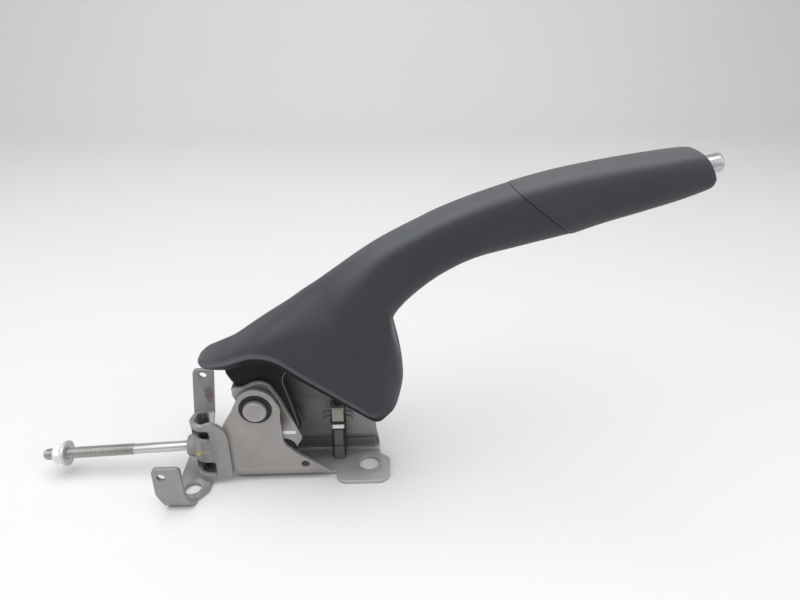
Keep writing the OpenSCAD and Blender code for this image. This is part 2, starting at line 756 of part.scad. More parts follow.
slide_gap = 0.1;
module button_guide() {
    color("black")
        along(knee + tube_end * grip_dir, grip_dir)
            difference() {
                cylinder(h = bush_end - tube_end, d = guide_d);
                translate([0, 0, -1])
                    cylinder(h = far, d = button_d + 2 * slide_gap);
            }
}

spigot_d = tube_d - 2 * tube_t - 1;
button_tip = bush_end + button_out;
module button() {
    color("silver")
        along(knee, grip_dir) {
            translate([0, 0, spigot_back])
                cylinder(h = button_back - spigot_back, d = spigot_d);
            translate([0, 0, button_back])
                rotate_extrude()
                    polygon(concat(
                        [[0, 0], [button_d / 2, 0]],
                        [for (i = [0 : 8])
                            [button_d / 2 - 1.5 * (1 - cos(i * 11.25)),
                             button_tip - button_back - 1.5 + 1.5 * sin(i * 11.25)]],
                        [[0, button_tip - button_back]]));
        }
}

module push_rod() {
    color("silver")
        bent_bar(push_rod_d, push_shift, push_neck_len, spigot_back - push_shift);
}

module spring_seat() {
    color("gray")
        along(knee + (spring_back - seat_t) * grip_dir, grip_dir)
            difference() {
                cylinder(h = seat_t, d = tube_d - 2 * tube_t);
                translate([0, 0, -1])
                    cylinder(h = seat_t + 2, d = push_rod_d + 1.6);
            }
}

// A wire swept along a helix about +Z
spring_wire = 1;
spring_turns = 8;
module helix(r, wire, h, turns) {
    steps = turns * 12;
    sides = 6;
    points = [for (i = [0 : steps]) for (j = [0 : sides - 1])
        let (a = 360 * turns * i / steps, b = 360 * j / sides, q = r + wire / 2 * cos(b))
        [q * cos(a), q * sin(a), h * i / steps + wire / 2 * sin(b)]];
    walls = [for (i = [0 : steps - 1]) for (j = [0 : sides - 1])
        let (k = i * sides, n = (j + 1) % sides)
        each [[k + j, k + sides + j, k + n], [k + n, k + sides + j, k + sides + n]]];
    caps = [[for (j = [0 : sides - 1]) j], [for (j = [sides - 1 : -1 : 0]) steps * sides + j]];
    polyhedron(points, concat(walls, caps), convexity = 10);
}

module button_spring() {
    color("lightgray")
        along(knee + (spring_back + spring_wire / 2) * grip_dir, grip_dir)
            helix((spigot_d - spring_wire) / 2, spring_wire,
                  spigot_back - spring_back - spring_wire, spring_turns);
}

// The pawl hangs on a pin through the arm, and its nose rides over the teeth
pawl_hub_d = 11;
peg_boss_d = 9;
shoulder_d = pawl_pin_d + 3;
pawl_y_gap = 0.15;
clip_t = 1;
nose_at = polar(pivot, ratchet_r + pawl_gap, nose_bearing);
nose_to_pin = norm(pawl_at - nose_at);
function by_nose(out, on) =
    nose_at + out * [cos(nose_bearing), sin(nose_bearing)] + on * [-sin(nose_bearing), cos(nose_bearing)];

module pawl_pin() {
    color("lightgray") {
        across(pawl_at, -arm_out, arm_out + pawl_y + pawl_t + clip_t + pawl_y_gap, pawl_pin_d);
        across(pawl_at, arm_out, pawl_y - pawl_y_gap - arm_out, shoulder_d);
        across(pawl_at, -arm_out - 1.5, 1.5, shoulder_d);
    }
}

module pawl_pin_clip() {
    color("gray")
        difference() {
            across(pawl_at, pawl_y + pawl_t + pawl_y_gap, clip_t, pawl_pin_d + 4);
            across(pawl_at, pawl_y, pawl_t + 3, pawl_pin_d);
        }
}

module pawl() {
    link = unit(peg_at - pawl_at);
    side = [-link[1], link[0]];
    color("slategray")
        difference() {
            union() {
                across(pawl_at, pawl_y, pawl_t, pawl_hub_d);
                across(peg_at, pawl_y, pawl_t, peg_boss_d);
                upright(pawl_y, pawl_t)
                    polygon(rounded([
                        corner_of(by_nose(0, -0.9), 0), corner_of(by_nose(0, 0.9), 0),
                        corner_of(by_nose(1.6, 3.2), 0), corner_of(by_nose(0.8, nose_to_pin - 3), 0),
                        corner_of(pawl_at + side * pawl_hub_d / 2.2, 0),
                        corner_of(peg_at + side * peg_boss_d / 2.2, 0),
                        corner_of(peg_at - side * peg_boss_d / 2.2, 0),
                        corner_of(pawl_at - side * pawl_hub_d / 2.2, 0),
                        corner_of(by_nose(8.5, nose_to_pin / 2), 8),
                        corner_of(by_nose(8, 0), 3), corner_of(by_nose(3, -3), 1)]));
            }
            across(pawl_at, 0, far, pawl_pin_d + 2 * running_gap);
            across(peg_at, 0, far, peg_d);
        }
}

module pawl_peg() {
    color("lightgray")
        across(peg_at, -push_rod_d / 2 - 1, pawl_y + pawl_t + push_rod_d / 2 + 1, peg_d);
}

// The trunnion turns in the yoke, and the rod is held through it by its head
rod_head_d = 11;
rod_head_h = 3;
module trunnion() {
    inside = yoke_in - 0.2;
    color("silver")
        difference() {
            union() {
                across(trunnion_at, -inside, 2 * inside, trunnion_d);
                across(trunnion_at, -yoke_out, 2 * yoke_out, trunnion_pin_d);
            }
            along(trunnion_at - far / 2 * rod_dir, rod_dir)
                cylinder(h = far, d = shank_d);
            along(trunnion_at + (trunnion_d / 2 - 1) * rod_dir, rod_dir)
                translate([-far / 2, -far / 2, 0])
                    cube([far, far, far]);
        }
}

thread_at = trunnion_at - (rod_len - thread_len) * rod_dir;
rod_tip = trunnion_at - rod_len * rod_dir;
thread_chamfer = 1;
module adjuster_rod() {
    color("gainsboro") {
        along(thread_at - lap * rod_dir, rod_dir)
            cylinder(h = rod_len - thread_len + trunnion_d / 2 - 1 + 2 * lap, d = shank_d);
        along(trunnion_at + (trunnion_d / 2 - 1) * rod_dir, rod_dir)
            cylinder(h = rod_head_h, d = rod_head_d);
        along(rod_tip + thread_chamfer * rod_dir, rod_dir)
            cylinder(h = thread_len - thread_chamfer, d = thread_d);
        along(rod_tip, rod_dir)
            cylinder(h = thread_chamfer + lap, d1 = thread_d - 2 * thread_chamfer, d2 = thread_d + 0.2 * lap);
    }
}

nut_flange_t = 2;
module adjuster_nut() {
    color("whitesmoke")
        along(rod_tip + nut_from_tip * rod_dir, rod_dir)
            difference() {
                union() {
                    cylinder(h = nut_h - nut_flange_t, d = nut_af / cos(30), $fn = 6);
                    translate([0, 0, nut_h - nut_flange_t])
                        cylinder(h = nut_flange_t, d = nut_flange_d);
                    translate([0, 0, nut_h - nut_flange_t - 2])
                        cylinder(h = 2, d1 = nut_af, d2 = nut_flange_d - 1);
                }
                translate([0, 0, -1])
                    cylinder(h = far, d = thread_d + 2 * running_gap);
            }
}

// The warning switch stands off the far plate on a clip foot
barb_span = 22;
barb_h = 3;
connector_w = 8;
connector_d = 8.5;
connector_wall = 1.2;
terminal_w = 4.8;
terminal_t = 0.8;
plunger_seat = 7;

module switch_body() {
    color("tan")
        difference() {
            translate(switch_at) {
                translate([-switch_w / 2, -switch_d / 2, 0])
                    cube([switch_w, switch_d, switch_h]);
                translate([-switch_w / 2 - 1, -switch_d / 2 - 0.8, 0])
                    cube([switch_w + 2, switch_d + 0.8, 2]);
                for (z = [barb_h, switch_h - barb_h - 2])
                    translate([-barb_span / 2, 0, z])
                        cube([barb_span, switch_d / 2, barb_h]);
                translate([-switch_w / 2, 0, 3])
                    cube([switch_w, far_y - switch_at[1], switch_h - 6]);
            }
            translate([switch_at[0], switch_at[1], switch_at[2] + plunger_seat])
                cylinder(h = switch_h, d = plunger_d + 2 * slide_gap);
        }
}

module switch_plunger() {
    color("black")
        translate([switch_at[0], switch_at[1], switch_at[2] + plunger_seat + 0.2])
            cylinder(h = plunger_top - switch_at[2] - plunger_seat - 0.2, d = plunger_d);
}

module switch_connector() {
    color("dimgray")
        translate([switch_at[0], switch_at[1] - (switch_d - connector_d) / 2, switch_at[2] - connector_h])
            difference() {
                union() {
                    translate([-connector_w / 2, -connector_d / 2, 0])
                        cube([connector_w, connector_d, connector_h]);
                    translate([-connector_w / 2 - 0.8, -connector_d / 2 - 0.8, 3])
                        cube([connector_w + 1.6, connector_d + 0.8, connector_h - 11]);
                }
                translate([-connector_w / 2 + connector_wall, -connector_d / 2 + connector_wall, -1])
                    cube([connector_w - 2 * connector_wall, connector_d - 2 * connector_wall,
                          connector_h - 4]);
            }
}

module switch_terminals() {
    color("gold")
        for (y = [-1.6, 1.6])
            translate([switch_at[0] - terminal_w / 2, switch_at[1] + y - terminal_t / 2,
                       switch_at[2] - connector_h + 6])
                cube([terminal_w, terminal_t, connector_h - 11]);
}

near_side_plate();
far_side_plate();
rear_bracket();
rear_strap();
tie_spacer();
tie_rivet();
pivot_pin();
pivot_bush();
pivot_spacer();
ratchet_sector();
sector_rivets();
switch_body();
switch_connector();
switch_terminals();
switch_plunger();
pivot_yoke();
pivot_sleeve();
lever_arm();
lever_tube();
tube_rivets();
lower_shroud();
grip_sleeve();
button_guide();
spring_seat();
button_spring();
button();
push_rod();
pawl_pin();
pawl_pin_clip();
pawl();
pawl_peg();
trunnion();
adjuster_rod();
adjuster_nut();
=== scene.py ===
# %% [markdown]
# # A parking brake lever
# The lever stands on two pressed steel feet. A moulded shroud and a soft grip cover its steel tube,
# a button in the grip frees a pawl, and a threaded rod behind the bracket pulls the brake cables.
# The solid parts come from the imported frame. This lesson gives them their finishes, and makes again
# the pieces whose real shape is softer than a plain solid: the shells, the thread and the pressed edges.

# %% Load the frame
import json
import math

import bmesh
import bpy
import numpy as np
from mathutils import Matrix, Vector


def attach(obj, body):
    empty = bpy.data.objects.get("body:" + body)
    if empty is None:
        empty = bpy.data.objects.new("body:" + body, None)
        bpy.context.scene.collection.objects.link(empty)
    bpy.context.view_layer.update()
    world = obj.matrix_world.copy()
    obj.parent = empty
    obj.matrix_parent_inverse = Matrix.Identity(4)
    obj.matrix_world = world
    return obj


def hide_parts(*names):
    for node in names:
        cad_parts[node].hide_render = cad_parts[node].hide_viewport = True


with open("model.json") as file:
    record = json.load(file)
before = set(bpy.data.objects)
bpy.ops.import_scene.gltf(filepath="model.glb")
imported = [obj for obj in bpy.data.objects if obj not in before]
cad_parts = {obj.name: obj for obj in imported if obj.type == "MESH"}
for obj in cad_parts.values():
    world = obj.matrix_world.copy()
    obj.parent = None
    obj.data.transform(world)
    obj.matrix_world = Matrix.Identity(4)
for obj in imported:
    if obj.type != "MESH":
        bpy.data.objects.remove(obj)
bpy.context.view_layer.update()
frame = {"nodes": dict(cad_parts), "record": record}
MM = 0.001
body_of_node = {n: body for body, names in frame["record"]["behaviour"]["bodies"].items() for n in names}

# %% [markdown]
# ## The view
# The camera looks down 27 degrees from a little right of the middle, as the photograph does. Its lens
# follows from the photograph's focal length of 620 pixels in a frame 800 pixels wide.

# %% Camera
SENSOR = 36
view = bpy.data.cameras.new("photo_view")
view.sensor_width = SENSOR
view.lens = SENSOR * 620 / 800
view.clip_start = 0.01
camera = bpy.data.objects.new("photo_view", view)
camera.location = (0.0100, -0.3501, 0.3138)
camera.rotation_euler = (math.radians(90 - 27), 0, math.radians(-2))
bpy.context.scene.collection.objects.link(camera)
bpy.context.scene.camera = camera
bpy.context.scene.view_settings.view_transform = "Standard"
print("lens, mm:", round(view.lens, 2))

# %% [markdown]
# ## Building finishes from nodes
# Every finish here is a small tree of shader nodes. A few helpers keep the trees short: add makes a
# node and fills its sockets, by a number or by a link, calc does one step of arithmetic, cloud gives
# noise in a range of values, tint mixes two colours, and patch marks one place on a piece.

# %% Node helpers
def add(tree, kind, inputs=(), **settings):
    """A node whose settings and sockets are filled; a socket among the inputs becomes a link."""
    made = tree.nodes.new(kind)
    for name, value in settings.items():
        setattr(made, name, value)
    for key, value in dict(inputs).items():
        if isinstance(value, bpy.types.NodeSocket):
            tree.links.new(value, made.inputs[key])
        else:
            made.inputs[key].default_value = value
    return made


def calc(tree, operation, *values):
    """One step of arithmetic on numbers and sockets."""
    return add(tree, "ShaderNodeMath", dict(enumerate(values)), operation=operation).outputs[0]


def cloud(tree, coords, scale, low, high, detail=3.0, spread=0.3):
    """Noise on the piece's own coordinates, stretched to run from low to high."""
    noise = add(tree, "ShaderNodeTexNoise", {"Vector": coords, "Scale": scale, "Detail": detail})
    return add(tree, "ShaderNodeMapRange", {
        "Value": noise.outputs["Fac"], "From Min": 0.5 - spread, "From Max": 0.5 + spread,
        "To Min": low, "To Max": high}).outputs["Result"]


def tint(tree, share, first, second):
    """A colour between two colours."""
    mixed = add(tree, "ShaderNodeMix", data_type="RGBA")
    for key, value in (("Factor_Float", share), ("A_Color", first), ("B_Color", second)):
        socket = next(s for s in mixed.inputs if s.identifier == key)
        if isinstance(value, bpy.types.NodeSocket):
            tree.links.new(value, socket)
        elif key == "Factor_Float":
            socket.default_value = value
        else:
            socket.default_value = (*value, 1)
    return next(s for s in mixed.outputs if s.identifier == "Result_Color")


def start_finish(name):
    """An empty material with its shader, and the piece's own coordinates."""
    finish = bpy.data.materials.new(name)
    finish.use_nodes = True
    tree = finish.node_tree
    shader = tree.nodes["Principled BSDF"]
    coords = add(tree, "ShaderNodeTexCoord").outputs["Object"]
    return finish, tree, shader, coords


def grain_bump(tree, shader, height, depth, strength):
    """Fine relief on the shader's normal."""
    bump = add(tree, "ShaderNodeBump", {"Height": height, "Distance": depth * MM, "Strength": strength})
    tree.links.new(bump.outputs["Normal"], shader.inputs["Normal"])


MARK_GRAIN, MARK_RIM = 650, 0.95


def patch(tree, coords, middle, half, turn=0.0, ragged=0.5, soft=0.2):
    """A mark with a ragged or a soft rim: 1 inside an ellipsoid round a point in mm, 0 outside."""
    centred = add(tree, "ShaderNodeMapping", {
        "Vector": coords, "Location": [c * MM for c in middle], "Rotation": (0, math.radians(turn), 0),
        "Scale": [h * MM for h in half]}, vector_type="TEXTURE")
    away = add(tree, "ShaderNodeVectorMath", {0: centred.outputs["Vector"]}, operation="LENGTH")
    uneven = calc(tree, "ADD", away.outputs["Value"], cloud(tree, coords, MARK_GRAIN, -ragged, ragged))
    return add(tree, "ShaderNodeMapRange", {
        "Value": uneven, "From Min": MARK_RIM + soft, "From Max": MARK_RIM - soft}).outputs["Result"]


# %% [markdown]
# ## Steel finishes
# The pressed plates are dull zinc: mid grey, faintly clouded, with fine rolling streaks and brighter
# edges, partly wear and partly painted highlight. The pieces carry an attribute called edge, which is 1
# on their rounded edges, so that the finish can brighten only those. Marks lie at a place on one piece:
# a dab of paint, a spot of rust, painted shade in folds, windows and corners and under the shroud, a
# painted pool of light on the foot, or painted shade on the nut's flange. Painting them into an image
# would need unwrapping, and a mark that is only a place and a size does not. The rod and the nut are
# bright zinc, and the ratchet is hardened.

# %% Steel
CLOUDS, STREAKS, SPECKS, EDGE_CLOUDS, MOTTLE, PITS = 38, 90, 1500, 220, 120, 1100
STREAK_STRETCH = (1, 1, 14)


def steel(name, dark, light, edge, rough, metal, marks=(), shine=0.5):
    """Steel between two greys, with the colour of its brighter edges, partly wear and partly painted
    highlight, and marks at their places.
    """
    finish, tree, shader, coords = start_finish(name)
    drawn = add(tree, "ShaderNodeMapping", {"Vector": coords, "Scale": STREAK_STRETCH}).outputs["Vector"]
    colour = tint(tree, cloud(tree, coords, CLOUDS, 0, 1, 4), dark, light)
    colour = tint(tree, cloud(tree, drawn, STREAKS, 0, 0.35), colour, light)
    colour = tint(tree, cloud(tree, coords, SPECKS, 0, 0.22), colour, dark)
    for mark_colour, share, *where in marks:
        spot = calc(tree, "MULTIPLY", patch(tree, coords, *where), share)
        colour = tint(tree, spot, colour, mark_colour)
    # The rounded edges are painted brighter: partly wear, partly a painted highlight along them.
    edge_wear_and_highlight = add(tree, "ShaderNodeAttribute", attribute_name="edge").outputs["Fac"]
    edge_wear_and_highlight = calc(tree, "MULTIPLY", edge_wear_and_highlight, cloud(tree, coords, EDGE_CLOUDS, 0.35, 0.95))
    colour = tint(tree, edge_wear_and_highlight, colour, edge)
    tree.links.new(colour, shader.inputs["Base Color"])
    tree.links.new(cloud(tree, coords, MOTTLE, rough - 0.07, rough + 0.08), shader.inputs["Roughness"])
    shader.inputs["Metallic"].default_value = metal
    shader.inputs["Specular IOR Level"].default_value = shine
    grain_bump(tree, shader, cloud(tree, coords, PITS, 0, 1), 0.05, 0.25)
    return finish


# %% [markdown]
# ## Where the marks are
# A mark is its colour, how much of it covers the steel, its middle and its half sizes in millimetres,
# and then, where they differ from a plain ragged spot, its turn and how ragged and soft its rim is.

# %% Marks
YELLOW = (0.75, 0.62, 0.02)
RUST = (0.13, 0.055, 0.03)
# PAINTED_SHADE is painted shade: it darkens folds, windows, corners and faces under the shroud where shade
# falls.
PAINTED_SHADE = (0.07, 0.065, 0.06)
# PAINTED_LIGHT_PATCH is a painted pool of light on the far plate's foot, under the shroud's overhang.
PAINTED_LIGHT_PATCH = (0.56, 0.55, 0.54)
# PAINTED_FLANGE_SHADE is painted shade on the nut's flange face.
PAINTED_FLANGE_SHADE = (0.33, 0.33, 0.33)
# The ragged, soft rim of the painted marks.
RAGGED_SOFT_RIM = (0, 0.12, 0.4)
BRACKET_MARKS = [
    (YELLOW, 0.8, (-116.2, -14, 26.6), (3.4, 8, 0.6), -46),
    (YELLOW, 0.35, (-111, -16, 28.8), (3.4, 5, 0.8)),
    # Painted shade inside the bracket and at its two windows.
    (PAINTED_SHADE, 0.85, (-115, 6, 30), (6, 9, 17), *RAGGED_SOFT_RIM),
    (PAINTED_SHADE, 0.85, (-120, -5.6, 14), (3, 2, 7), *RAGGED_SOFT_RIM),
    (PAINTED_SHADE, 0.85, (-120, -5.6, 42), (3, 2, 5), *RAGGED_SOFT_RIM)]
STRAP_MARKS = [
    (RUST, 0.55, (-122.5, 45, 34), (3.6, 9, 7)),
    # Painted shade in the corner where the bracket meets the strap.
    (PAINTED_SHADE, 0.85, (-113, 2, 3), (7, 9, 4), *RAGGED_SOFT_RIM)]
YOKE_MARKS = [
    # Painted shade on the yoke's far side and on its near cheek under the shroud.
    (PAINTED_SHADE, 0.85, (-48, 9.5, 42), (16, 5, 26), *RAGGED_SOFT_RIM),
    (PAINTED_SHADE, 0.85, (-68, -9.75, 62), (19.5, 3, 23), 0, 0.05, 0.2)]
FAR_MARKS = [
    # Painted shade under the shroud and along the far plate's ledge.
    (PAINTED_SHADE, 0.35, (-40, 17, 45), (22, 9, 26), *RAGGED_SOFT_RIM),
    (PAINTED_SHADE, 0.75, (-22, 15.5, 10), (48, 6, 5.5), *RAGGED_SOFT_RIM),
    # A painted pool of light on the foot.
    (PAINTED_LIGHT_PATCH, 0.75, (-4, -10, 3), (34, 22, 3), *RAGGED_SOFT_RIM)]
# Painted shade on the nut's flange face.
NUT_MARKS = [(PAINTED_FLANGE_SHADE, 0.7, (-212.4, 0, 17.9), (1.9, 13, 13), 0, 0.1, 0.3)]
print("marks:", sum(map(len, (BRACKET_MARKS, STRAP_MARKS, YOKE_MARKS, FAR_MARKS, NUT_MARKS))))

# %% Steel finishes
EDGE = (0.5, 0.49, 0.48)
WARM_ZINC = ((0.275, 0.26, 0.253), (0.39, 0.371, 0.36), EDGE, 0.46, 0.5)
COOL_ZINC = ((0.25, 0.245, 0.242), (0.36, 0.352, 0.346), EDGE, 0.46, 0.5)
FAR_ZINC = ((0.25, 0.245, 0.242), (0.35, 0.343, 0.338), EDGE, 0.46, 0.5)
finishes = {
    "plate": steel("dull_zinc_plate", *WARM_ZINC),
    "yoke": steel("dull_zinc_yoke", *WARM_ZINC, YOKE_MARKS),
    "bracket": steel("dull_zinc_bracket", *COOL_ZINC, BRACKET_MARKS),
    "strap": steel("dull_zinc_strap", *COOL_ZINC, STRAP_MARKS),
    "far_plate": steel("dull_zinc_far_plate", *FAR_ZINC, FAR_MARKS),
    # A much darker copy of the plates' zinc: painted shade on the arm's bare face, and a painted highlight
    # line on the black arm.
    "bare": steel("bare_arm_face", (0.1, 0.098, 0.098), (0.155, 0.152, 0.152), EDGE, 0.5, 0.4),
    # The black coat's light edge colour is a painted highlight along the arm's edges.
    "coated": steel("black_coated_steel", (0.008, 0.008, 0.009), (0.015, 0.015, 0.017),
                    (0.16, 0.16, 0.165), 0.5, 0, shine=0.12),
    "bright": steel("bright_zinc", (0.48, 0.48, 0.485), (0.64, 0.64, 0.645),
                    (0.8, 0.8, 0.8), 0.3, 0.9),
    "thread": steel("bright_zinc_thread", (0.33, 0.325, 0.315), (0.5, 0.495, 0.48),
                    (0.7, 0.7, 0.7), 0.36, 0.85),
    "white_zinc": steel("white_zinc_nut", (0.66, 0.665, 0.68), (0.8, 0.8, 0.815),
                        (0.88, 0.88, 0.89), 0.38, 0.45, NUT_MARKS),
    "hardened": steel("hardened_steel", (0.10, 0.10, 0.105), (0.17, 0.17, 0.175),
                      (0.4, 0.4, 0.4), 0.4, 0.7),
    "satin": steel("satin_button", (0.46, 0.46, 0.47), (0.56, 0.56, 0.57),
                   (0.75, 0.75, 0.75), 0.32, 0.85),
    "brass": steel("terminal_brass", (0.42, 0.31, 0.12), (0.6, 0.46, 0.2),
                   (0.8, 0.65, 0.35), 0.35, 0.9),
}
print("steel finishes:", len(finishes))

# %% [markdown]
# ## Moulded finishes
# The shroud is a dark slate plastic with a fine leather grain from its mould, and the grip the same
# with a softer touch. A grain of cells about a millimetre wide, read on the piece's own coordinates,
# needs no unwrapping. Larger, fainter clouds stand for handling. The two shells also carry an attribute
# called shade, one number for each point: below zero the plastic is painted paler, as painted light on
# its top, nose and underside and a painted highlight on the lip's ridge, and above zero it is painted
# darker and less glossy, as painted shade in the groove under the lip and in the grip's seam.

# %% Plastics
HANDLING, DUST, SHEEN = 24, 700, 60
PORE_SCALE, DEEPEST = 1.7, 0.2


def plastic(name, dark, light, rough, grain_scale, grain_depth, shine=0.5, painted_pale=None):
    """Moulded plastic between two tones; with a painted pale tone, it also follows the piece's painted light
    and shade.
    """
    finish, tree, shader, coords = start_finish(name)
    cells = add(tree, "ShaderNodeTexVoronoi", {"Vector": coords, "Scale": grain_scale}, feature="SMOOTH_F1")
    pores = cloud(tree, coords, grain_scale * PORE_SCALE, 0, 0.5)
    relief = calc(tree, "ADD", cells.outputs["Distance"], pores)
    colour = tint(tree, cloud(tree, coords, HANDLING, 0, 1, 5), dark, light)
    colour = tint(tree, cloud(tree, coords, DUST, 0, 0.25), colour, dark)
    shader.inputs["Specular IOR Level"].default_value = shine
    if painted_pale:
        # The shade attribute paints light and shade: below zero towards the painted pale tone, above zero
        # darker and less glossy.
        shade = add(tree, "ShaderNodeAttribute", attribute_name="shade").outputs["Fac"]
        paler = add(tree, "ShaderNodeClamp", {"Value": calc(tree, "MULTIPLY", shade, -1.0)}).outputs[0]
        deeper = add(tree, "ShaderNodeClamp", {"Value": shade}).outputs[0]
        colour = tint(tree, paler, colour, painted_pale)
        colour = tint(tree, deeper, colour, [DEEPEST * c for c in dark])
        gloss = calc(tree, "MULTIPLY", calc(tree, "SUBTRACT", 1.0, deeper), shine)
        tree.links.new(gloss, shader.inputs["Specular IOR Level"])
    tree.links.new(colour, shader.inputs["Base Color"])
    tree.links.new(cloud(tree, coords, SHEEN, rough - 0.06, rough + 0.06), shader.inputs["Roughness"])
    grain_bump(tree, shader, relief, grain_depth, 0.35)
    return finish


finishes |= {
    # The last colour of each shell is its painted pale tone, for painted light.
    "shroud": plastic("slate_shroud", (0.034, 0.035, 0.042), (0.044, 0.046, 0.055), 0.52, 950, 0.12, 0.25,
                      (0.105, 0.11, 0.12)),
    "grip": plastic("soft_grip", (0.041, 0.039, 0.047), (0.052, 0.05, 0.059), 0.55, 1150, 0.1, 0.25,
                    (0.12, 0.12, 0.127)),
    "black": plastic("matt_black_bush", (0.012, 0.012, 0.013), (0.022, 0.022, 0.023), 0.5, 1200, 0.05, 0.3),
    "switch": plastic("beige_switch", (0.28, 0.26, 0.23), (0.38, 0.35, 0.31), 0.45, 1500, 0.04),
    "connector": plastic("grey_connector", (0.075, 0.076, 0.08), (0.12, 0.121, 0.127), 0.42, 1500, 0.04),
}
print("all finishes:", sorted(finishes))

# %% [markdown]
# ## Placing a finished piece
# A piece is made in millimetres, in the part's own frame, so it needs no fitting. This cell turns
# points and faces into a mesh, rounds its hard edges, and tells the frame which body it rides on.

# %% Piece helpers
WELD = 2e-6


def close_edit(bm, name):
    """A mesh from an edit that has ended."""
    mesh = bpy.data.meshes.new(name)
    bm.to_mesh(mesh)
    bm.free()
    return mesh


def to_mesh(name, points, faces, shade=None):
    """A mesh in metres from points in millimetres, with its doubles merged and faces outwards."""
    bm = bmesh.new()
    layer = bm.verts.layers.float.new("shade")
    made = [bm.verts.new(Vector(p) * MM) for p in points]
    for vert, value in zip(made, [0.0] * len(made) if shade is None else shade):
        vert[layer] = float(value)
    for f in faces:
        corners = [made[k] for k in dict.fromkeys(f)]
        if len(corners) > 2:
            bm.faces.new(corners)
    bmesh.ops.remove_doubles(bm, verts=bm.verts, dist=WELD)
    bmesh.ops.recalc_face_normals(bm, faces=bm.faces)
    return close_edit(bm, name)


def round_edges(mesh, width, limit=35, segments=2):
    """The same mesh with its hard edges rounded, and those strips marked by the attribute edge."""
    holder = bpy.data.objects.new("holder", mesh)
    bpy.context.scene.collection.objects.link(holder)
    mesh.shade_smooth()
    while len(mesh.materials) < 2:
        mesh.materials.append(None)
    bevel = holder.modifiers.new("edges", "BEVEL")
    bevel.width = width * MM
    bevel.segments = segments
    bevel.limit_method = "ANGLE"
    bevel.angle_limit = math.radians(limit)
    bevel.harden_normals = True
    bevel.material = 1
    seen = bpy.context.evaluated_depsgraph_get()
    finished = bpy.data.meshes.new_from_object(holder.evaluated_get(seen))
    bpy.data.objects.remove(holder)
    strips = np.zeros(len(finished.polygons), np.int32)
    finished.polygons.foreach_get("material_index", strips)
    edge = finished.attributes.new("edge", "FLOAT", "FACE")
    edge.data.foreach_set("value", strips.astype(np.float32))
    finished.polygons.foreach_set("material_index", np.zeros_like(strips))
    finished.materials.clear()
    return finished


def place(name, mesh, finish, slot, body, *nodes):
    """The finished piece, riding on its body in place of the frame's nodes."""
    mesh.materials.clear()
    mesh.materials.append(finishes[finish])
    piece = bpy.data.objects.new(name, mesh)
    bpy.context.scene.collection.objects.link(piece)
    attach(piece, body)
    if nodes:
        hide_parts(*nodes)
    print(name, "faces:", len(mesh.polygons))
    return piece


# %% [markdown]
# ## Soft outlines
# Four sheets are pressed a little softer than their plain solids. A rule for each moves the points of
# its copy: the near plate's head narrows above the pivot, the bracket's rear corner stands lower, the
# strap's far tab leans, and the yoke's head runs in one curve. A rule on points keeps the sheet closed.

# %% Rules for the outlines
PIVOT = (-74.5, 0, 62)
LEAN, LEAN_START, LEAN_WIDTH, TAB_TOP, LEAN_HEIGHT = 3.2, 12, 33, 46, 28
HEAD_ROUND, HEAD_REAR, HEAD_FRONT, HEAD_DROP, HEAD_RAMP = 12, 0.21, 0.15, 1.2, 8
LUG_DROP, LUG_Z, LUG_X, LUG_RAMP = 2.6, 47, -106, 6
WINDOW_LOW, WINDOW_HIGH, WINDOW_SIDE, WINDOW_DROP = 39.5, 43.5, 2, 2.4


def clamp01(v):
    return min(max(v, 0), 1)


def from_pivot(p):
    """A point's x and z from the pivot, in millimetres."""
    return p.x / MM - PIVOT[0], p.z / MM - PIVOT[2]


def lean(p):
    """The strap's far tab leans a little to the rear below its hole."""
    x, y, z = p / MM
    p.x -= LEAN * MM * clamp01((y - LEAN_START) / LEAN_WIDTH) * clamp01((TAB_TOP - z) / LEAN_HEIGHT)


def narrow_head(p):
    """The near plate's head is narrower above the pivot than a full round."""
    x, z = from_pivot(p)
    if math.hypot(x, z) > HEAD_ROUND:
        p.x -= x * MM * (HEAD_REAR if x < 0 else HEAD_FRONT) * clamp01((z + 2) / HEAD_RAMP)
        p.z -= HEAD_DROP * MM * clamp01((z - HEAD_RAMP) / HEAD_RAMP)


def lower_lug(p):
    """The bracket's hooked rear corner stands lower than its side, and its upper window reaches down."""
    x, y, z = p / MM
    p.z -= LUG_DROP * MM * clamp01((z - LUG_Z) / LUG_RAMP) * clamp01((LUG_X - x) / LUG_RAMP)
    if WINDOW_LOW < z < WINDOW_HIGH and y < WINDOW_SIDE:
        p.z -= WINDOW_DROP * MM


# %% Yoke head
YOKE_LINE = [(-9.3, 15.4), (-7, 16.1), (-5, 17.1), (-0.8, 19.3),
             (3.1, 20.2), (7.3, 19.6), (10.7, 17.5), (13.2, 14.5)]
YOKE_LOW, YOKE_CUTS = 13, 8


def smooth_row(rows, u):
    """The row at u along a table, on a smooth curve through its rows."""
    last = len(rows) - 1
    i = min(int(u), last - 1)
    t = u - i
    a, b, c, d = (np.array(rows[k]) for k in (max(i - 1, 0), i, i + 1, min(i + 2, last)))
    square = 2 * a - 5 * b + 4 * c - d
    cube = 3 * b - a - 3 * c + d
    return 0.5 * (2 * b + (c - a) * t + square * t**2 + cube * t**3)


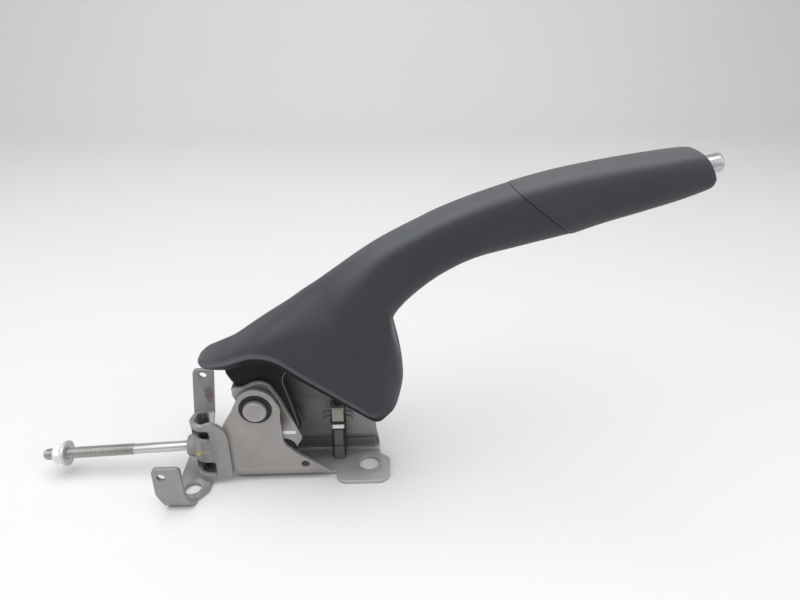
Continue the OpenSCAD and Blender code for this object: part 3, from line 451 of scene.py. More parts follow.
def round_yoke(bm):
    """The yoke's outline runs in one soft curve over the pivot, from its rear corner to its flank."""
    across, up = np.array(YOKE_LINE).T

    def on_head(vert):
        x, z = from_pivot(vert.co)
        return across[0] <= x <= across[-1] and z > YOKE_LOW

    def is_long(edge):
        in_sheet = abs(edge.verts[0].co.y - edge.verts[1].co.y) < 0.1 * MM
        return in_sheet and edge.calc_length() > 1 * MM

    straight = [e for e in bm.edges if all(map(on_head, e.verts)) and is_long(e)]
    bmesh.ops.subdivide_edges(bm, edges=straight, cuts=YOKE_CUTS, use_grid_fill=True)
    for vert in bm.verts:
        if on_head(vert):
            u = np.interp(from_pivot(vert.co)[0], across, range(len(across)))
            vert.co.z = (PIVOT[2] + smooth_row(up[:, None], u)[0]) * MM


# %% [markdown]
# ## Pressed steel
# A press leaves a small radius on every edge of a sheet, and light catches it. The frame's own solids
# have the right outlines but knife edges, so each is copied, its triangles merged into whole faces,
# and its edges rounded. A bevel that hardens the normals keeps the broad faces perfectly flat.

# %% Pressed and machined pieces from the frame
FLAT = math.radians(0.6)


def whole_faces(node):
    """The node's solid with its triangles merged into whole faces, the yoke's with its soft head."""
    bm = bmesh.new()
    bm.from_mesh(frame["nodes"][node].data)
    bmesh.ops.remove_doubles(bm, verts=bm.verts, dist=WELD)
    bmesh.ops.dissolve_limit(bm, angle_limit=FLAT, verts=bm.verts, edges=bm.edges)
    if node == "pivot_yoke":
        round_yoke(bm)
    return bm


def pressed(name, node, finish, slot, width, reshape=None):
    """A sheet from the frame, its points moved by a rule of its own and its edges rounded."""
    bm = whole_faces(node)
    if reshape:
        for vert in bm.verts:
            reshape(vert.co)
    mesh = round_edges(close_edit(bm, name), width)
    return place(name, mesh, finish, slot, body_of_node[node], node)


PRESSED = [
    ("near_plate", "near_side_plate", "plate", "steel", 0.45, narrow_head),
    ("far_plate", "far_side_plate", "far_plate", "steel", 0.45),
    ("wrap_bracket", "rear_bracket", "bracket", "steel", 0.45, lower_lug),
    ("floor_strap", "rear_strap", "strap", "steel", 0.45, lean),
    ("yoke", "pivot_yoke", "yoke", "steel", 0.35),
    ("channel_arm", "lever_arm", "coated", "dark_steel", 0.3),
    ("toothed_sector", "ratchet_sector", "hardened", "hard_steel", 0.2),
    ("pawl_plate", "pawl", "hardened", "hard_steel", 0.2),
    ("switch_socket", "switch_connector", "black", "connector_plastic", 0.25),
]
for row in PRESSED:
    pressed(*row)

# %% [markdown]
# ## The arm's bare face
# The arm is coated black outside, but its far wall is bare steel where it faces in. A copy of that one
# face, drawn out by a quarter of a millimetre, makes a closed sheet with its own finish: a grey much
# darker than the plates', as painted shade under the shroud.

# %% Bare face
FACING_NEAR = -0.9
BARE_FROM, BARE_TO, BARE_DEPTH = 5, 7, 0.25


def keep_faces(bm, wanted):
    """Only the faces that a rule wants stay."""
    bmesh.ops.delete(bm, geom=[f for f in bm.faces if not wanted(f)], context="FACES")


def draw_out(bm, name, depth):
    """A closed sheet: the faces that are left, drawn out to the near side by a depth in millimetres."""
    drawn = bmesh.ops.extrude_face_region(bm, geom=list(bm.faces), use_keep_orig=True)
    for vert in drawn["geom"]:
        if isinstance(vert, bmesh.types.BMVert):
            vert.co.y -= depth * MM
    bmesh.ops.recalc_face_normals(bm, faces=bm.faces)
    return close_edit(bm, name)


def on_bare_wall(face):
    return face.normal.y < FACING_NEAR and BARE_FROM < face.calc_center_median().y / MM < BARE_TO


arm_copy = bmesh.new()
arm_copy.from_mesh(frame["nodes"]["lever_arm"].data)
bmesh.ops.remove_doubles(arm_copy, verts=arm_copy.verts, dist=WELD)
keep_faces(arm_copy, on_bare_wall)
place("bare_face", draw_out(arm_copy, "bare_face", BARE_DEPTH), "bare", "dark_steel", "lever")

# %% [markdown]
# ## Folded rims
# The yoke's cheek is folded along its edge and the arm has a pressed rim; each shows as a painted
# highlight, a line of a lighter finish inside the outline. Both are drawn from the frame's own outline:
# the face is inset twice, and the strip between the insets is lifted by a tenth of a millimetre or a little
# more.

# %% Rim strips
SAME_PLANE = 0.1


def rim_strip(name, node, plane, inset, width, lift, keep, finish, slot):
    """A thin strip inside the outline of the near face at a plane, all in millimetres."""
    bm = whole_faces(node)

    def on_plane(face):
        away = abs(face.calc_center_median().y / MM - plane)
        return face.normal.y <= FACING_NEAR and away <= SAME_PLANE

    keep_faces(bm, on_plane)
    outer = bmesh.ops.inset_region(bm, faces=list(bm.faces), thickness=inset * MM, use_boundary=True)
    bmesh.ops.delete(bm, geom=outer["faces"], context="FACES")
    inner = bmesh.ops.inset_region(bm, faces=list(bm.faces), thickness=width * MM, use_boundary=True)
    strip = set(inner["faces"])

    def shows(face):
        middle = face.calc_center_median() / MM
        return face in strip and keep(middle.x, middle.z)

    keep_faces(bm, shows)
    place(name, draw_out(bm, name, lift), finish, slot, body_of_node[node])


# Painted highlight lines on the yoke's cheek and along the arm's rim.
rim_strip("yoke_highlight_line", "pivot_yoke", -9.75, 1.4, 0.6, 0.1,
          lambda x, z: z > 34 and x > -87, "plate", "steel")
rim_strip("arm_highlight_line", "lever_arm", -8.0, 2.0, 0.6, 0.15,
          lambda x, z: x > -60 and z < 92, "bare", "dark_steel")

# %% [markdown]
# ## The moulded shroud
# The shroud is a loft: each station gives the top and the bottom point of a section, how wide it is,
# and how far its underside closes. Low on the lever it is an open skirt over the bracket; towards the
# grip it closes into a ring round the tube. Its lower edge turns out in a narrow lip. Writing the rule
# with arrays gives a smooth mesh at any fineness, which a subdivided cage would only approach.

# %% Lofted sections
SLOPE = math.radians(14)
GRIP_DIR = np.array([math.cos(SLOPE), math.sin(SLOPE)])
GRIP_NORMAL = np.array([-GRIP_DIR[1], GRIP_DIR[0]])
KNEE = np.array([52.0, 183.0])
TUBE_R = 6.25
SQUARENESS = 0.76


def signed_pow(v):
    return np.sign(v) * np.abs(v) ** SQUARENESS


def section(top, low, half_w, close, s):
    """Points round a section; s runs from one lower edge over the top to the other."""
    reach = math.radians(90 + 90 * close)
    drop = (1 - signed_pow(np.cos(s * reach))) / (1 - signed_pow(math.cos(reach)))
    line = top + (low - top) * drop[:, None]
    return np.column_stack([line[:, 0], half_w * signed_pow(np.sin(s * reach)), line[:, 1]])


def bore(top, low, radius, s, turn=180):
    """Where a round bore along the grip crosses a section's plane."""
    down = (low - top) / np.linalg.norm(low - top)
    share = down @ GRIP_NORMAL
    middle = top + down * ((KNEE - top) @ GRIP_NORMAL / share)
    angle = np.radians(s * turn)
    line = middle - down * (radius / abs(share)) * np.cos(angle)[:, None]
    return np.column_stack([line[:, 0], radius * np.sin(angle), line[:, 1]])


def skin(rings, closed_round, closed_along):
    """Faces between rings of equal length."""
    rows, cols = len(rings), len(rings[0])
    faces = []
    for i in range(rows if closed_along else rows - 1):
        for j in range(cols if closed_round else cols - 1):
            n, m = (i + 1) % rows, (j + 1) % cols
            faces.append((i * cols + j, i * cols + m, n * cols + m, n * cols + j))
    return np.concatenate(rings), faces


# %% Shroud stations
# Each station: top x and z, lower x and z, pinch, share of skirt, how far it closes, share of collar
SHROUD_STATIONS = [
    (-109.2, 97.4, -108.8, 95.4, 0.28, 1, 0, 0), (-105.6, 99.6, -104.4, 96, 0.53, 1, 0, 0),
    (-98, 102.4, -96, 97.2, 0.67, 1, 0, 0), (-88, 106.6, -84.5, 99.8, 0.8, 1, 0, 0),
    (-74, 116.2, -68.8, 106, 0.95, 1, 0, 0), (-62, 125.2, -55.3, 103.8, 1, 1, 0, 0),
    (-50, 133.8, -42.3, 93.8, 1, 1, 0, 0), (-40, 141.6, -24.4, 80.6, 1, 1, 0, 0),
    (-32, 147.2, -7.4, 68.2, 1, 1, 0, 0), (-26, 151.5, 5.8, 59.4, 1, 1, 0.06, 0),
    (-21, 155, 15.4, 61.8, 1, 0.93, 0.42, 0), (-16, 158.5, 21, 66, 1, 0.83, 0.82, 0),
    (-10, 163, 24.2, 81, 1, 0.65, 0.97, 0), (-3, 168, 22.6, 98, 1, 0.42, 0.99, 0),
    (5, 173.4, 18.9, 113.5, 1, 0.2, 0.99, 0), (13.5, 178.4, 17.4, 124.5, 1, 0.05, 0.99, 0),
    (22, 183, 23.8, 135, 1, 0, 0.99, 0), (32, 188, 35.6, 146.7, 1, 0, 0.99, 0),
    (44, 194.1, 49.4, 156.9, 0.98, 0, 0.99, 0), (58.5, 200.3, 67.6, 166, 0.95, 0, 0.99, 0.35),
    (73, 205.8, 92, 172.6, 0.91, 0, 0.99, 1), (86, 210.3, 124.2, 180.8, 0.9, 0, 0.99, 1)]
NECK_HALF, SKIRT_HALF, SHROUD_WALL = 17, 23.5, 2.4
RINGS_PER_STATION = 6
print("shroud stations:", len(SHROUD_STATIONS))

# %% [markdown]
# ## The shroud's lip and shade
# The lip stands out from the skirt by a soft step near the lower edge, and dies away where the underside
# closes. The same distances give each point its shade, so that the painted highlight on the lip's ridge,
# the painted shade in the groove under it and the painted light along the top line follow the surface
# wherever the loft takes it.

# %% Shroud rings
LIP_W, LIP_RAMP, LIP_OUT, LIP_BACK, LIP_DROP, LIP_SHARE = 5.6, 1.3, 1.6, 0.5, 1.5, 0.7
NOSE_LIP, NOSE_RUN, GROOVE_START, GROOVE_RUN = 0.4, 5, 1.5, 2
# Strengths of the painted shade in the groove and of the painted highlight on the ridge.
GROOVE_EDGE, GROOVE_DARK, RIDGE_LIGHT = 0.8, 0.75, 0.8
# Painted light along the top, on the underside and on the nose.
TOP_LIGHT, TOP_EDGE, TOP_SOFT = 0.75, 58, 24
UNDER_LIGHT, UNDER_EDGE, UNDER_SOFT = 0.35, 105, 45
NOSE_LIGHT, NOSE_FADE, SKIRT_DULL = 0.6, 2.5, 0.65
WALL_SHARE, SLOT_TURN = 0.4, 177


def soft_step(share):
    """0 to 1, with a gentle start and end."""
    share = np.clip(share, 0, 1)
    return share * share * (3 - 2 * share)


def painted_light_by_turn(turn):
    """How much painted light the shell gets, by the angle from its top line in degrees: most along the top, a
    little underneath.
    """
    turn = np.abs(turn)
    under = np.clip((turn - UNDER_EDGE) / UNDER_SOFT, 0, 1)
    return TOP_LIGHT * soft_step((TOP_EDGE - turn) / TOP_SOFT) + UNDER_LIGHT * under


def shroud_ring(u, s):
    """One closed ring of the shell, outside one way and inside back, and the shade of its points."""
    ax, az, bx, bz, pinch, skirt, close, collar = smooth_row(SHROUD_STATIONS, u)
    skirt, close, collar = clamp01(skirt), clamp01(close), clamp01(collar)
    top, low = np.array([ax, az]), np.array([bx, bz])
    height = np.linalg.norm(low - top)
    half = (NECK_HALF + (SKIRT_HALF - NECK_HALF) * skirt) * pinch
    outside = section(top, low, half, close, s)
    share = min(SHROUD_WALL / height, WALL_SHARE)
    inner_low = low + (top - low) * 2 * share * close - np.array([SHROUD_WALL * close, 0])
    inside = section(top + (low - top) * share, inner_low, half - SHROUD_WALL, close, s)
    inside += (bore(top, low, TUBE_R, s, SLOT_TURN) - inside) * collar

    lip = min(LIP_W, LIP_SHARE * height)
    ramp = min(LIP_RAMP, lip / 2)
    from_edge = np.linalg.norm(outside[:, (0, 2)] - low, axis=1)
    below = lip - ramp - from_edge
    strength = max(0, 1 - 4 * close) * clamp01(NOSE_LIP + u / NOSE_RUN)
    step = soft_step((lip - from_edge) / ramp)
    tuck = np.clip(below / (lip - ramp), 0, 1)
    flare = np.sign(s) * (LIP_OUT * step - LIP_BACK * tuck) * strength
    sink = (low - top) / height * (LIP_DROP * step * strength)[:, None]
    for wall in (outside, inside):
        wall[:, 1] += flare
        wall[:, (0, 2)] += sink

    # Painted shade in the groove under the lip, a painted highlight on its ridge, and painted light on the
    # nose and top line.
    groove = np.clip(below / GROOVE_EDGE, 0, 1) * clamp01((u - GROOVE_START) / GROOVE_RUN)
    ridge = np.clip(1 - np.abs(below) / ramp, 0, 1)
    painted_top_light = painted_light_by_turn(s * (90 + 90 * close)) * (1 - SKIRT_DULL * skirt)
    painted_pale = NOSE_LIGHT * clamp01(1 - u / NOSE_FADE) + painted_top_light
    shade = (GROOVE_DARK * groove - RIDGE_LIGHT * ridge) * strength - painted_pale * (1 - groove * strength)
    return np.concatenate([outside, inside[::-1]]), np.concatenate([shade, 0 * s])


# %% Shroud shell
TURN_POINTS, EDGE_FINENESS = 91, 1.7
half_turn = 1 - (1 - np.linspace(0, 1, TURN_POINTS)) ** EDGE_FINENESS
turns = np.concatenate([-half_turn[:0:-1], half_turn])
count = (len(SHROUD_STATIONS) - 1) * RINGS_PER_STATION
shell = [shroud_ring(k / RINGS_PER_STATION, turns) for k in range(count + 1)]
shell_rings, shell_shade = zip(*shell)
shell_points, shell_faces = skin(shell_rings, True, False)
cols = len(shell_rings[0])
for start in (0, count * cols):
    shell_faces += [(start + j, start + j + 1, start + cols - 2 - j, start + cols - 1 - j)
                    for j in range(cols // 2 - 1)]
shell_mesh = to_mesh("shroud", shell_points, shell_faces, np.concatenate(shell_shade))
place("shroud", round_edges(shell_mesh, 0.6, 55), "shroud", "shroud_plastic", "lever", "lower_shroud")

# %% [markdown]
# ## The grip
# The grip is the same kind of loft, closed all round, with a bore for the tube and the button's guide.
# Its front meets the shroud at a narrow seam, darkened by painted shade. Rings across both end faces and
# down the bore make it one closed shell.

# %% Grip
# Each station: top x and z, lower x and z, pinch
GRIP_STATIONS = [
    (86, 210.2, 124.2, 181, 0.95), (87.5, 211.1, 125.6, 180.8, 0.985), (111, 217.5, 142.5, 187, 1),
    (138.6, 223, 160, 192.6, 1.03), (164, 227, 182, 199.8, 1.03), (179, 229, 197, 205.6, 0.99),
    (188.6, 229.6, 201.2, 208, 0.96), (193, 228, 202.4, 211, 0.9)]
GRIP_HALF, SEAM, GUIDE_R, GUIDE_DEPTH = 15.5, 1.0, 7.75, 7
GRIP_SIDES, RINGS_PER_STEP = 96, 10
around = -1 + 2 * np.arange(GRIP_SIDES) / GRIP_SIDES
forward = np.array([GRIP_DIR[0], 0, GRIP_DIR[1]])


def grip_ring(row):
    """One ring of the grip's outside, set forward by the seam."""
    ax, az, bx, bz, pinch = row
    ring = section(np.array([ax, az]), np.array([bx, bz]), GRIP_HALF * pinch, 1, around)
    return ring + SEAM * forward


def face_rings(row, radius, shares):
    """Rings across an end face, from its rim in to a round bore."""
    ax, az, bx, bz, _ = row
    rim = grip_ring(row)
    hole = bore(np.array([ax, az]), np.array([bx, bz]), radius, around) + SEAM * forward
    return [rim + (hole - rim) * t for t in shares]


steps = (len(GRIP_STATIONS) - 1) * RINGS_PER_STEP
grip_rings = [grip_ring(smooth_row(GRIP_STATIONS, k / RINGS_PER_STEP)) for k in range(steps + 1)]
seam_face = face_rings(GRIP_STATIONS[0], TUBE_R, (1, 0.6, 0.25))
end_face = face_rings(GRIP_STATIONS[-1], GUIDE_R, (0.25, 0.6, 1))
end_face.append(end_face[-1] - forward * GUIDE_DEPTH)
grip_points, grip_faces = skin(seam_face + grip_rings + end_face, True, True)
# The seam face gets painted shade; the sides get painted light along the top and underneath.
seam_shade = [np.ones(GRIP_SIDES)] * len(seam_face)
side_shade = [-painted_light_by_turn(around * 180)] * len(grip_rings)
end_shade = [np.zeros(GRIP_SIDES)] * len(end_face)
grip_shade = np.concatenate(seam_shade + side_shade + end_shade)
grip_mesh = to_mesh("grip", grip_points, grip_faces, grip_shade)
place("grip", round_edges(grip_mesh, 0.9, 50, 3), "grip", "grip_plastic", "lever", "grip_sleeve")

# %% [markdown]
# ## Turned pieces
# The button, its guide, the pivot pin and the nylon bush are all turned on a lathe or moulded round.
# One function spins a profile of radius and height about any axis.

# %% Lathe
def turned(name, profile, at, axis, sides=96, ring=False):
    """A profile of (radius, height) spun about an axis through a point, in millimetres."""
    axis = Vector(axis).normalized()
    side = axis.orthogonal().normalized()
    other = axis.cross(side)
    angles = [2 * math.pi * k / sides for k in range(sides)]
    rings = []
    for r, h in profile:
        middle = Vector(at) + axis * h
        rings.append([middle + side * (r * math.cos(a)) + other * (r * math.sin(a)) for a in angles])
    return to_mesh(name, *skin(rings, True, ring))


def on_grip(distance):
    """The point of the grip's axis that far from the knee."""
    p = KNEE + GRIP_DIR * distance
    return (p[0], 0, p[1])


# %% Button and guide
BUTTON_R, BUTTON_BACK, BUTTON_TIP, SPIGOT_BACK, SPIGOT_R = 5.75, 138.5, 161, 128, 4.25
tip, spigot = BUTTON_TIP - BUTTON_BACK, SPIGOT_BACK - BUTTON_BACK
button_profile = [
    (0, spigot), (SPIGOT_R, spigot), (SPIGOT_R, 0), (BUTTON_R, 0), (BUTTON_R, tip - 1.5),
    (BUTTON_R - 0.2, tip - 0.75), (BUTTON_R - 0.7, tip - 0.2), (BUTTON_R - 1.4, tip), (0, tip)]
button_mesh = turned("push_button", button_profile, on_grip(BUTTON_BACK), forward)
place("push_button", round_edges(button_mesh, 0.15),
      "satin", "button_metal", body_of_node["button"], "button")
GUIDE_BACK, GUIDE_END, GUIDE_BORE, GUIDE_MOUTH = 132, 149, 5.85, 6.6
guide_len = GUIDE_END - GUIDE_BACK
guide_profile = [
    (GUIDE_BORE, 0), (GUIDE_R, 0), (GUIDE_R, guide_len), (GUIDE_MOUTH, guide_len),
    (GUIDE_BORE, guide_len - 0.8)]
guide_mesh = turned("button_collar", guide_profile, on_grip(GUIDE_BACK), forward, ring=True)
place("button_collar", round_edges(guide_mesh, 0.15), "black", "bush_plastic", "lever", "button_guide")

# %% Pivot pin and bush
TO_NEAR = (0, -1, 0)
PIN_R, PIN_NEAR, PIN_FAR, PEEN_R, PEEN_T = 6, 13.8, -20, 8, 1.6
PIN_HEAD_R, PIN_HEAD_T, PIN_FACE_R = 7.75, 3.3, 6.1
peen, crown = PIN_FAR - PEEN_T, PIN_NEAR + PIN_HEAD_T
pin_profile = [
    (0, peen), (PEEN_R, peen), (PEEN_R, PIN_FAR), (PIN_R, PIN_FAR), (PIN_R, PIN_NEAR),
    (PIN_HEAD_R, PIN_NEAR), (PIN_HEAD_R, crown - 0.7), (PIN_HEAD_R - 0.8, crown), (PIN_FACE_R, crown),
    (PIN_FACE_R - 0.3, crown - 0.25), (0, crown - 0.2)]
pin_mesh = turned("headed_pin", pin_profile, PIVOT, TO_NEAR)
place("headed_pin", round_edges(pin_mesh, 0.1), "plate", "bright_steel", "base", "pivot_pin")
BUSH_R, BUSH_BACK, BUSH_FLANGE_R, BUSH_FLANGE = 7.5, 10, 11, 13
bush_profile = [
    (PIN_R, BUSH_BACK), (BUSH_R, BUSH_BACK), (BUSH_R, BUSH_FLANGE), (BUSH_FLANGE_R, BUSH_FLANGE),
    (BUSH_FLANGE_R, PIN_NEAR - 0.3), (BUSH_FLANGE_R - 0.3, PIN_NEAR), (PIN_R, PIN_NEAR)]
bush_mesh = turned("flanged_bush", bush_profile, PIVOT, TO_NEAR, ring=True)
place("flanged_bush", round_edges(bush_mesh, 0.12), "black", "bush_plastic", "base", "pivot_bush")

# %% [markdown]
# ## The adjuster's thread
# A rolled thread is one ridge that winds along the rod. Geometry Nodes make it from a flat grid: one
# side of the grid becomes the length, the other goes once round, and the radius rises and falls with
# the distance along minus the share of a turn. Only the sizes are inputs, so any thread comes from it.

# %% Tree helpers
def new_tree(name, sizes):
    tree = bpy.data.node_groups.new(name, "GeometryNodeTree")
    tree.interface.new_socket("Geometry", in_out="OUTPUT", socket_type="NodeSocketGeometry")
    for label, kind in sizes:
        tree.interface.new_socket(label, in_out="INPUT", socket_type=kind)
    return tree, add(tree, "NodeGroupInput").outputs


def end_tree(tree, geometry, finish):
    """Realize Instances and Set Material, then the output."""
    plain = add(tree, "GeometryNodeRealizeInstances", {"Geometry": geometry})
    dressed = add(tree, "GeometryNodeSetMaterial", {"Geometry": plain.outputs[0], "Material": finish})
    add(tree, "NodeGroupOutput", {"Geometry": dressed.outputs[0]})
    print(tree.name, "nodes:", len(tree.nodes))


def grow(tree, name, values, start=None):
    """The tree's result as a plain mesh."""
    holder = bpy.data.objects.new(name, start or bpy.data.meshes.new(name))
    bpy.context.scene.collection.objects.link(holder)
    modifier = holder.modifiers.new("grow", "NODES")
    modifier.node_group = tree
    for item in tree.interface.items_tree:
        if item.in_out == "INPUT" and item.name in values:
            modifier[item.identifier] = values[item.name]
    seen = holder.evaluated_get(bpy.context.evaluated_depsgraph_get())
    mesh = bpy.data.meshes.new_from_object(seen)
    bpy.data.objects.remove(holder)
    return mesh


def lay(point, direction):
    """The matrix that lays a piece made along z at a point in millimetres, along a direction."""
    turned_to = Vector(direction).to_track_quat("Z", "Y").to_matrix().to_4x4()
    return Matrix.Translation(Vector(point) * MM) @ turned_to


# %% Thread tree
FLOAT, INT = "NodeSocketFloat", "NodeSocketInt"
GEOMETRY, MATERIAL = "NodeSocketGeometry", "NodeSocketMaterial"
thread, size = new_tree("rolled_thread", [
    ("Length", FLOAT), ("Crest radius", FLOAT), ("Root radius", FLOAT), ("Pitch", FLOAT),
    ("Rows", INT), ("Columns", INT), ("Finish", MATERIAL)])
grid = add(thread, "GeometryNodeMeshGrid", {
    "Size X": 1.0, "Size Y": 1.0, "Vertices X": size["Rows"], "Vertices Y": size["Columns"]})
where = add(thread, "GeometryNodeInputPosition").outputs[0]
flat = add(thread, "ShaderNodeSeparateXYZ", {0: where}).outputs
run = calc(thread, "MULTIPLY", calc(thread, "ADD", flat["X"], 0.5), size["Length"])
turn = calc(thread, "ADD", flat["Y"], 0.5)
phase = calc(thread, "SUBTRACT", calc(thread, "DIVIDE", run, size["Pitch"]), turn)
phase = calc(thread, "FRACT", phase)
flank = calc(thread, "ABSOLUTE", calc(thread, "MULTIPLY_ADD", phase, 2.0, -1.0))
ridge = calc(thread, "MULTIPLY_ADD", calc(thread, "SUBTRACT", 1.0, flank), 1.35, -0.15)
ridge = add(thread, "ShaderNodeClamp", {"Value": ridge}).outputs[0]
to_end = calc(thread, "MINIMUM", run, calc(thread, "SUBTRACT", size["Length"], run))
fade = calc(thread, "DIVIDE", to_end, size["Pitch"])
fade = add(thread, "ShaderNodeClamp", {"Value": fade}).outputs[0]
depth = calc(thread, "SUBTRACT", size["Crest radius"], size["Root radius"])
rise = calc(thread, "MULTIPLY", depth, calc(thread, "MULTIPLY", ridge, fade))
radius = calc(thread, "ADD", size["Root radius"], rise)
angle = calc(thread, "MULTIPLY", turn, 2 * math.pi)
wound = add(thread, "ShaderNodeCombineXYZ", {
    "X": calc(thread, "MULTIPLY", radius, calc(thread, "COSINE", angle)),
    "Y": calc(thread, "MULTIPLY", radius, calc(thread, "SINE", angle)), "Z": run})
rolled = add(thread, "GeometryNodeSetPosition", {
    "Geometry": grid.outputs["Mesh"], "Position": wound.outputs[0]})
closed = add(thread, "GeometryNodeMergeByDistance", {"Geometry": rolled.outputs[0], "Distance": 1e-6})
end_tree(thread, closed.outputs[0], size["Finish"])

# %% Rod and thread
ROD_SLOPE = math.radians(3)
ROD_DIR = Vector((math.cos(ROD_SLOPE), 0, math.sin(ROD_SLOPE)))
TRUNNION = Vector((-58, 0, 26))
ROD_LEN, THREAD_LEN, PLAIN_TIP = 171.5, 64.3, 1
THREAD_R, ROOT_R, CORE_R, TIP_R, SHANK_R, PITCH = 4.0, 3.35, 3.3, 2.6, 3.6, 1.25
THREAD_ROWS, THREAD_COLUMNS = 441, 49
ROD_HEAD_R, HEAD_FROM, HEAD_TO = 5.5, ROD_LEN + 5, ROD_LEN + 8
rod_tip = TRUNNION - ROD_DIR * ROD_LEN
thread_mesh = grow(thread, "thread", {
    "Length": (THREAD_LEN - PLAIN_TIP) * MM, "Crest radius": THREAD_R * MM, "Root radius": ROOT_R * MM,
    "Pitch": PITCH * MM, "Rows": THREAD_ROWS, "Columns": THREAD_COLUMNS, "Finish": finishes["thread"]})
thread_edit = bmesh.new()
thread_edit.from_mesh(thread_mesh)
bmesh.ops.holes_fill(thread_edit, edges=thread_edit.edges, sides=0)
bmesh.ops.recalc_face_normals(thread_edit, faces=thread_edit.faces)
thread_edit.transform(lay(rod_tip + ROD_DIR * PLAIN_TIP, ROD_DIR))
thread_edit.to_mesh(thread_mesh)
thread_edit.free()
thread_mesh.shade_smooth()
place("rod_thread", thread_mesh, "thread", "bright_steel", "rod")
rod_profile = [
    (0, 0), (TIP_R, 0), (CORE_R, 0.9), (CORE_R, THREAD_LEN - PLAIN_TIP), (SHANK_R, THREAD_LEN),
    (SHANK_R, HEAD_FROM), (ROD_HEAD_R, HEAD_FROM), (ROD_HEAD_R, HEAD_TO), (0, HEAD_TO)]
rod_mesh = turned("rod_shank", rod_profile, rod_tip, ROD_DIR, 64)
place("rod_shank", round_edges(rod_mesh, 0.2), "bright", "bright_steel", "rod", "adjuster_rod")

# %% [markdown]
# ## The button's spring
# A coil spring behind the button pushes it back out. The frame keeps it at full length, but a pressed
# button would run into it, so it is drawn here at its pressed length, which leaves room at every pose.
# A spiral curve with a round wire swept along it is all a spring needs.

# %% Spring tree
coiling, coil = new_tree("coil_spring", [
    ("Turns", FLOAT), ("Radius", FLOAT), ("Wire", FLOAT), ("Height", FLOAT), ("Finish", MATERIAL)])
spiral = add(coiling, "GeometryNodeCurveSpiral", {
    "Resolution": 28, "Rotations": coil["Turns"], "Height": coil["Height"],
    "Start Radius": coil["Radius"], "End Radius": coil["Radius"]})
coil_round = add(coiling, "GeometryNodeCurvePrimitiveCircle", {"Resolution": 12, "Radius": coil["Wire"]})
coil_mesh = add(coiling, "GeometryNodeCurveToMesh", {
    "Curve": spiral.outputs[0], "Profile Curve": coil_round.outputs[0], "Fill Caps": True})
end_tree(coiling, coil_mesh.outputs[0], coil["Finish"])

# %% Spring
SPRING_BACK, SPRING_PRESSED, SPRING_R, SPRING_WIRE, SPRING_TURNS = 98, 24.6, 3.75, 1.0, 8.0
spring_mesh = grow(coiling, "coil_spring", {
    "Turns": SPRING_TURNS, "Radius": SPRING_R * MM, "Wire": SPRING_WIRE / 2 * MM,
    "Height": (SPRING_PRESSED - SPRING_WIRE) * MM, "Finish": finishes["bright"]})
spring_mesh.transform(lay(on_grip(SPRING_BACK + SPRING_WIRE / 2), forward))
spring_mesh.shade_smooth()
place("coil_spring", spring_mesh, "bright", "bright_steel", "lever", "button_spring")

# %% [markdown]
# ## The flange nut
# A hex nut is a bar with six flats, its corners turned off by a cone. Taking the smaller of the two
# radii at each angle and height gives the true curved line where cone and flat meet.

# %% Nut outline
NUT_AF, NUT_H, NUT_FROM_TIP, NUT_SIDES = 13, 9.5, 7.5, 96
FLANGE_R, FLANGE_T, FLANGE_EDGE, FILLET, FILLET_POWER = 8.95, 2, 0.3, 2.6, 1.6
CORNER_R, CORNER_GROW, CORNER_POWER = 5.5, 1.05, 0.75
NUT_BORE, TOP_MOUTH, FLANGE_MOUTH = 4.05, 4.7, 4.6
FLANGE_AT = NUT_H - FLANGE_T
nut_angles = 2 * np.pi * np.arange(NUT_SIDES) / NUT_SIDES


def hex_radius(a):
    """Distance to the hexagon's outline at an angle."""
    a = (a + math.pi / 6) % (math.pi / 3) - math.pi / 6
    return NUT_AF / 2 / math.cos(a)


def nut_radius(a, h):
    """The nut's outside at an angle and a height: turned corners, flats, fillet and flange."""
    if h >= FLANGE_AT + FLANGE_EDGE:
        return FLANGE_R - (FLANGE_EDGE if h == NUT_H else 0)
    r = min(hex_radius(a), CORNER_R + CORNER_GROW * h**CORNER_POWER)
    share = clamp01((h - FLANGE_AT + FILLET) / FILLET)
    if share:
        r = max(r, NUT_AF / 2 + (FLANGE_R - FLANGE_EDGE - NUT_AF / 2) * share**FILLET_POWER)
    return r


def nut_ring(radii, h):
    return np.column_stack([radii * np.cos(nut_angles), radii * np.sin(nut_angles), np.full(NUT_SIDES, h)])


# %% Nut
nut_heights = [0, 0.2, 0.5, 0.9, 1.4, 2.0, 2.8, 3.8]
nut_heights += [FLANGE_AT - FILLET * k / 6 for k in range(6, -1, -1)]
nut_heights += [FLANGE_AT + FLANGE_EDGE, NUT_H - FLANGE_EDGE, NUT_H]
nut_loop = [nut_ring(NUT_BORE, 0.7), nut_ring(TOP_MOUTH, 0)]
nut_loop += [nut_ring(np.array([nut_radius(a, h) for a in nut_angles]), h) for h in nut_heights]
nut_loop += [nut_ring(FLANGE_MOUTH, NUT_H), nut_ring(NUT_BORE, NUT_H - 0.6)]
nut_mesh = to_mesh("flange_nut", *skin(nut_loop, True, True))
nut_mesh.transform(lay(rod_tip + ROD_DIR * NUT_FROM_TIP, ROD_DIR))
place("flange_nut", round_edges(nut_mesh, 0.12, 28), "white_zinc", "bright_steel", "nut", "adjuster_nut")

# %% [markdown]
# ## Rivets
# Rivets repeat, so one tree sets a domed head on every marked point, facing the way that point says.
# The head is a sphere pressed flat by a power of its height, which is how a formed head looks.

